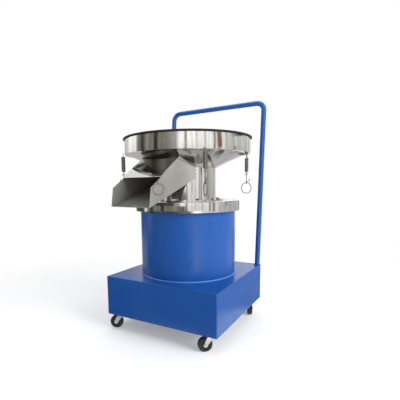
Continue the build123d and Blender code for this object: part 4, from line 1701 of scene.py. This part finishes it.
    def floor(self) -> None:
        """Pale floor that fades into the white background away from the object."""
        shape = Shape()
        rings = (0.0, 1.0, 2.0, 4.0, 10.0, self.floor_radius)
        steps = 64
        shape.points.append(Vector((0, 0, 0)))
        for radius in rings[1:]:
            shape.points.extend(circle_path(radius, 0.0, steps))
        for step in range(steps):
            after = (step + 1) % steps
            shape.faces.append((0, 1 + step, 1 + after))
            for ring in range(len(rings) - 2):
                low = 1 + ring * steps
                high = low + steps
                shape.faces.append((low + step, high + step, high + after, low + after))
        piece = shape.as_object("studio_floor")
        recipe = Recipe("studio_floor_white")
        recipe.constant(Roughness=0.9, Specular_IOR_Level=0.1)
        length = recipe.nodes.new("ShaderNodeVectorMath")
        length.operation = "LENGTH"
        recipe.links.new(recipe.place, length.inputs[0])
        fade = recipe.spread(length.outputs["Value"], 0.0, 1.0, *self.floor_fade)
        tint = recipe.spread(recipe.noise(3.0, 3.0), 0.90, 0.93)
        grey = recipe.nodes.new("ShaderNodeCombineColor")
        for channel in ("Red", "Green", "Blue"):
            recipe.links.new(tint, grey.inputs[channel])
        recipe.feed("Base Color", grey.outputs["Color"])
        glow = recipe.nodes.new("ShaderNodeEmission")
        glow.inputs["Strength"].default_value = 1.0
        lift = recipe.nodes.new("ShaderNodeEmission")
        strength = recipe.combined("MULTIPLY", looked_at(recipe.tree), self.floor_lift)
        recipe.links.new(strength, lift.inputs["Strength"])
        lifted = recipe.nodes.new("ShaderNodeAddShader")
        recipe.links.new(recipe.shader.outputs["BSDF"], lifted.inputs[0])
        recipe.links.new(lift.outputs["Emission"], lifted.inputs[1])
        recipe.show(mixed(recipe.tree, fade, lifted.outputs["Shader"], glow.outputs["Emission"]))
        piece.data.materials.append(recipe.material)

    def lamp(self, name: str, place: Sequence[float], target: Sequence[float], size: float, power: float,
             mirrored: bool = False) -> None:
        """Soft square lamp.

        Args:
            name: Name of the lamp.
            place: Where it stands.
            target: Point it faces.
            size: Side of its square in metres.
            power: Power in watts.
            mirrored: Whether glossy surfaces show it.
        """
        data = bpy.data.lights.new(name, "AREA")
        data.size = size
        data.energy = power
        piece = bpy.data.objects.new(name, data)
        bpy.context.scene.collection.objects.link(piece)
        piece.location = place
        piece.rotation_mode = "QUATERNION"
        piece.rotation_quaternion = (Vector(target) - Vector(place)).to_track_quat("-Z", "Y")
        piece.visible_glossy = mirrored

    def lamps(self) -> None:
        """Key from the right, weaker fill from the left front and a top light."""
        self.lamp("key_lamp", (3.2, -0.5, 2.0), (0, 0, 0.5), 2.0, 100)
        self.lamp("top_lamp", (-0.3, 0.3, 3.6), (0, 0, 0.4), 2.4, 44, mirrored=True)
        self.lamp("fill_lamp", (-1.8, -3.2, 1.8), (0, 0, 0.5), 2.4, 12)

    def card(self, card: WallCard | FloorCard, distance: float) -> None:
        """Stand one card in its place.

        Args:
            card: Its place and brightness.
            distance: Its distance from the axis.
        """
        shape, shares = card.shape(distance)
        piece = shape.as_object("card_" + card.name)
        piece.visible_camera = False
        piece.visible_diffuse = False
        piece.visible_shadow = False
        piece.visible_volume_scatter = False
        solid = piece.data.attributes.new("solid", "FLOAT", "POINT")
        solid.data.foreach_set("value", shares)
        recipe = Recipe("card_" + card.name)
        recipe.nodes.remove(recipe.shader)
        glow = recipe.nodes.new("ShaderNodeEmission")
        glow.inputs["Color"].default_value = (*card.brightness, 1.0)
        streaks = recipe.noise(1.0, 3.0, recipe.stretched((3.5, 3.5, 0.25)))
        strength = recipe.spread(streaks, 0.72, 1.18)
        if card.upright:
            split = recipe.nodes.new("ShaderNodeSeparateXYZ")
            recipe.links.new(recipe.place, split.inputs["Vector"])
            rise = recipe.spread(split.outputs["Z"], self.card_foot_shade, 1.0, 0.5, 1.4)
            strength = recipe.combined("MULTIPLY", strength, rise)
        recipe.links.new(strength, glow.inputs["Strength"])
        clear = recipe.nodes.new("ShaderNodeBsdfTransparent")
        share = recipe.nodes.new("ShaderNodeAttribute")
        share.attribute_name = "solid"
        recipe.show(mixed(recipe.tree, share.outputs["Fac"], clear.outputs["BSDF"], glow.outputs["Emission"]))
        piece.data.materials.append(recipe.material)

    def camera(self) -> None:
        """Camera at the photograph's viewing angle."""
        bearing = math.radians(self.camera_bearing)
        pitch = math.radians(self.camera_pitch)
        roll = math.radians(self.camera_roll)
        forward = polar(math.cos(pitch), bearing + math.pi / 2, math.sin(pitch))
        level = Vector((math.cos(bearing), math.sin(bearing), 0.0))
        upward = level.cross(forward)
        right = level * math.cos(roll) + upward * math.sin(roll)
        up = upward * math.cos(roll) - level * math.sin(roll)
        data = bpy.data.cameras.new("photo_camera")
        data.lens = self.lens
        data.sensor_width = self.sensor
        data.shift_x = self.shift_x
        data.shift_y = self.shift_y
        data.clip_end = 100.0
        camera = bpy.data.objects.new("photo_camera", data)
        bpy.context.scene.collection.objects.link(camera)
        turn = Matrix((right, up, -forward)).transposed().to_4x4()
        camera.matrix_world = Matrix.Translation(Vector(self.camera_place)) @ turn
        bpy.context.scene.camera = camera


def main() -> None:
    """Build every sub-assembly on the frame."""
    logging.basicConfig(level=logging.INFO, format="%(name)s: %(message)s")
    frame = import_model()
    Studio().build()
    shop = Workshop(frame)
    head = SieveHead(shop)
    chute = ChuteWelds(shop, head)
    for assembly in (PushCart(shop), CasterSet(shop), head, chute, ChuteCover(shop, chute), SpringSet(shop),
                     LatchSet(shop), Screen(shop), VibrationMotor(shop)):
        LOG.info("building %s", type(assembly).__name__)
        assembly.build()


if __name__ == "__main__":
    main()
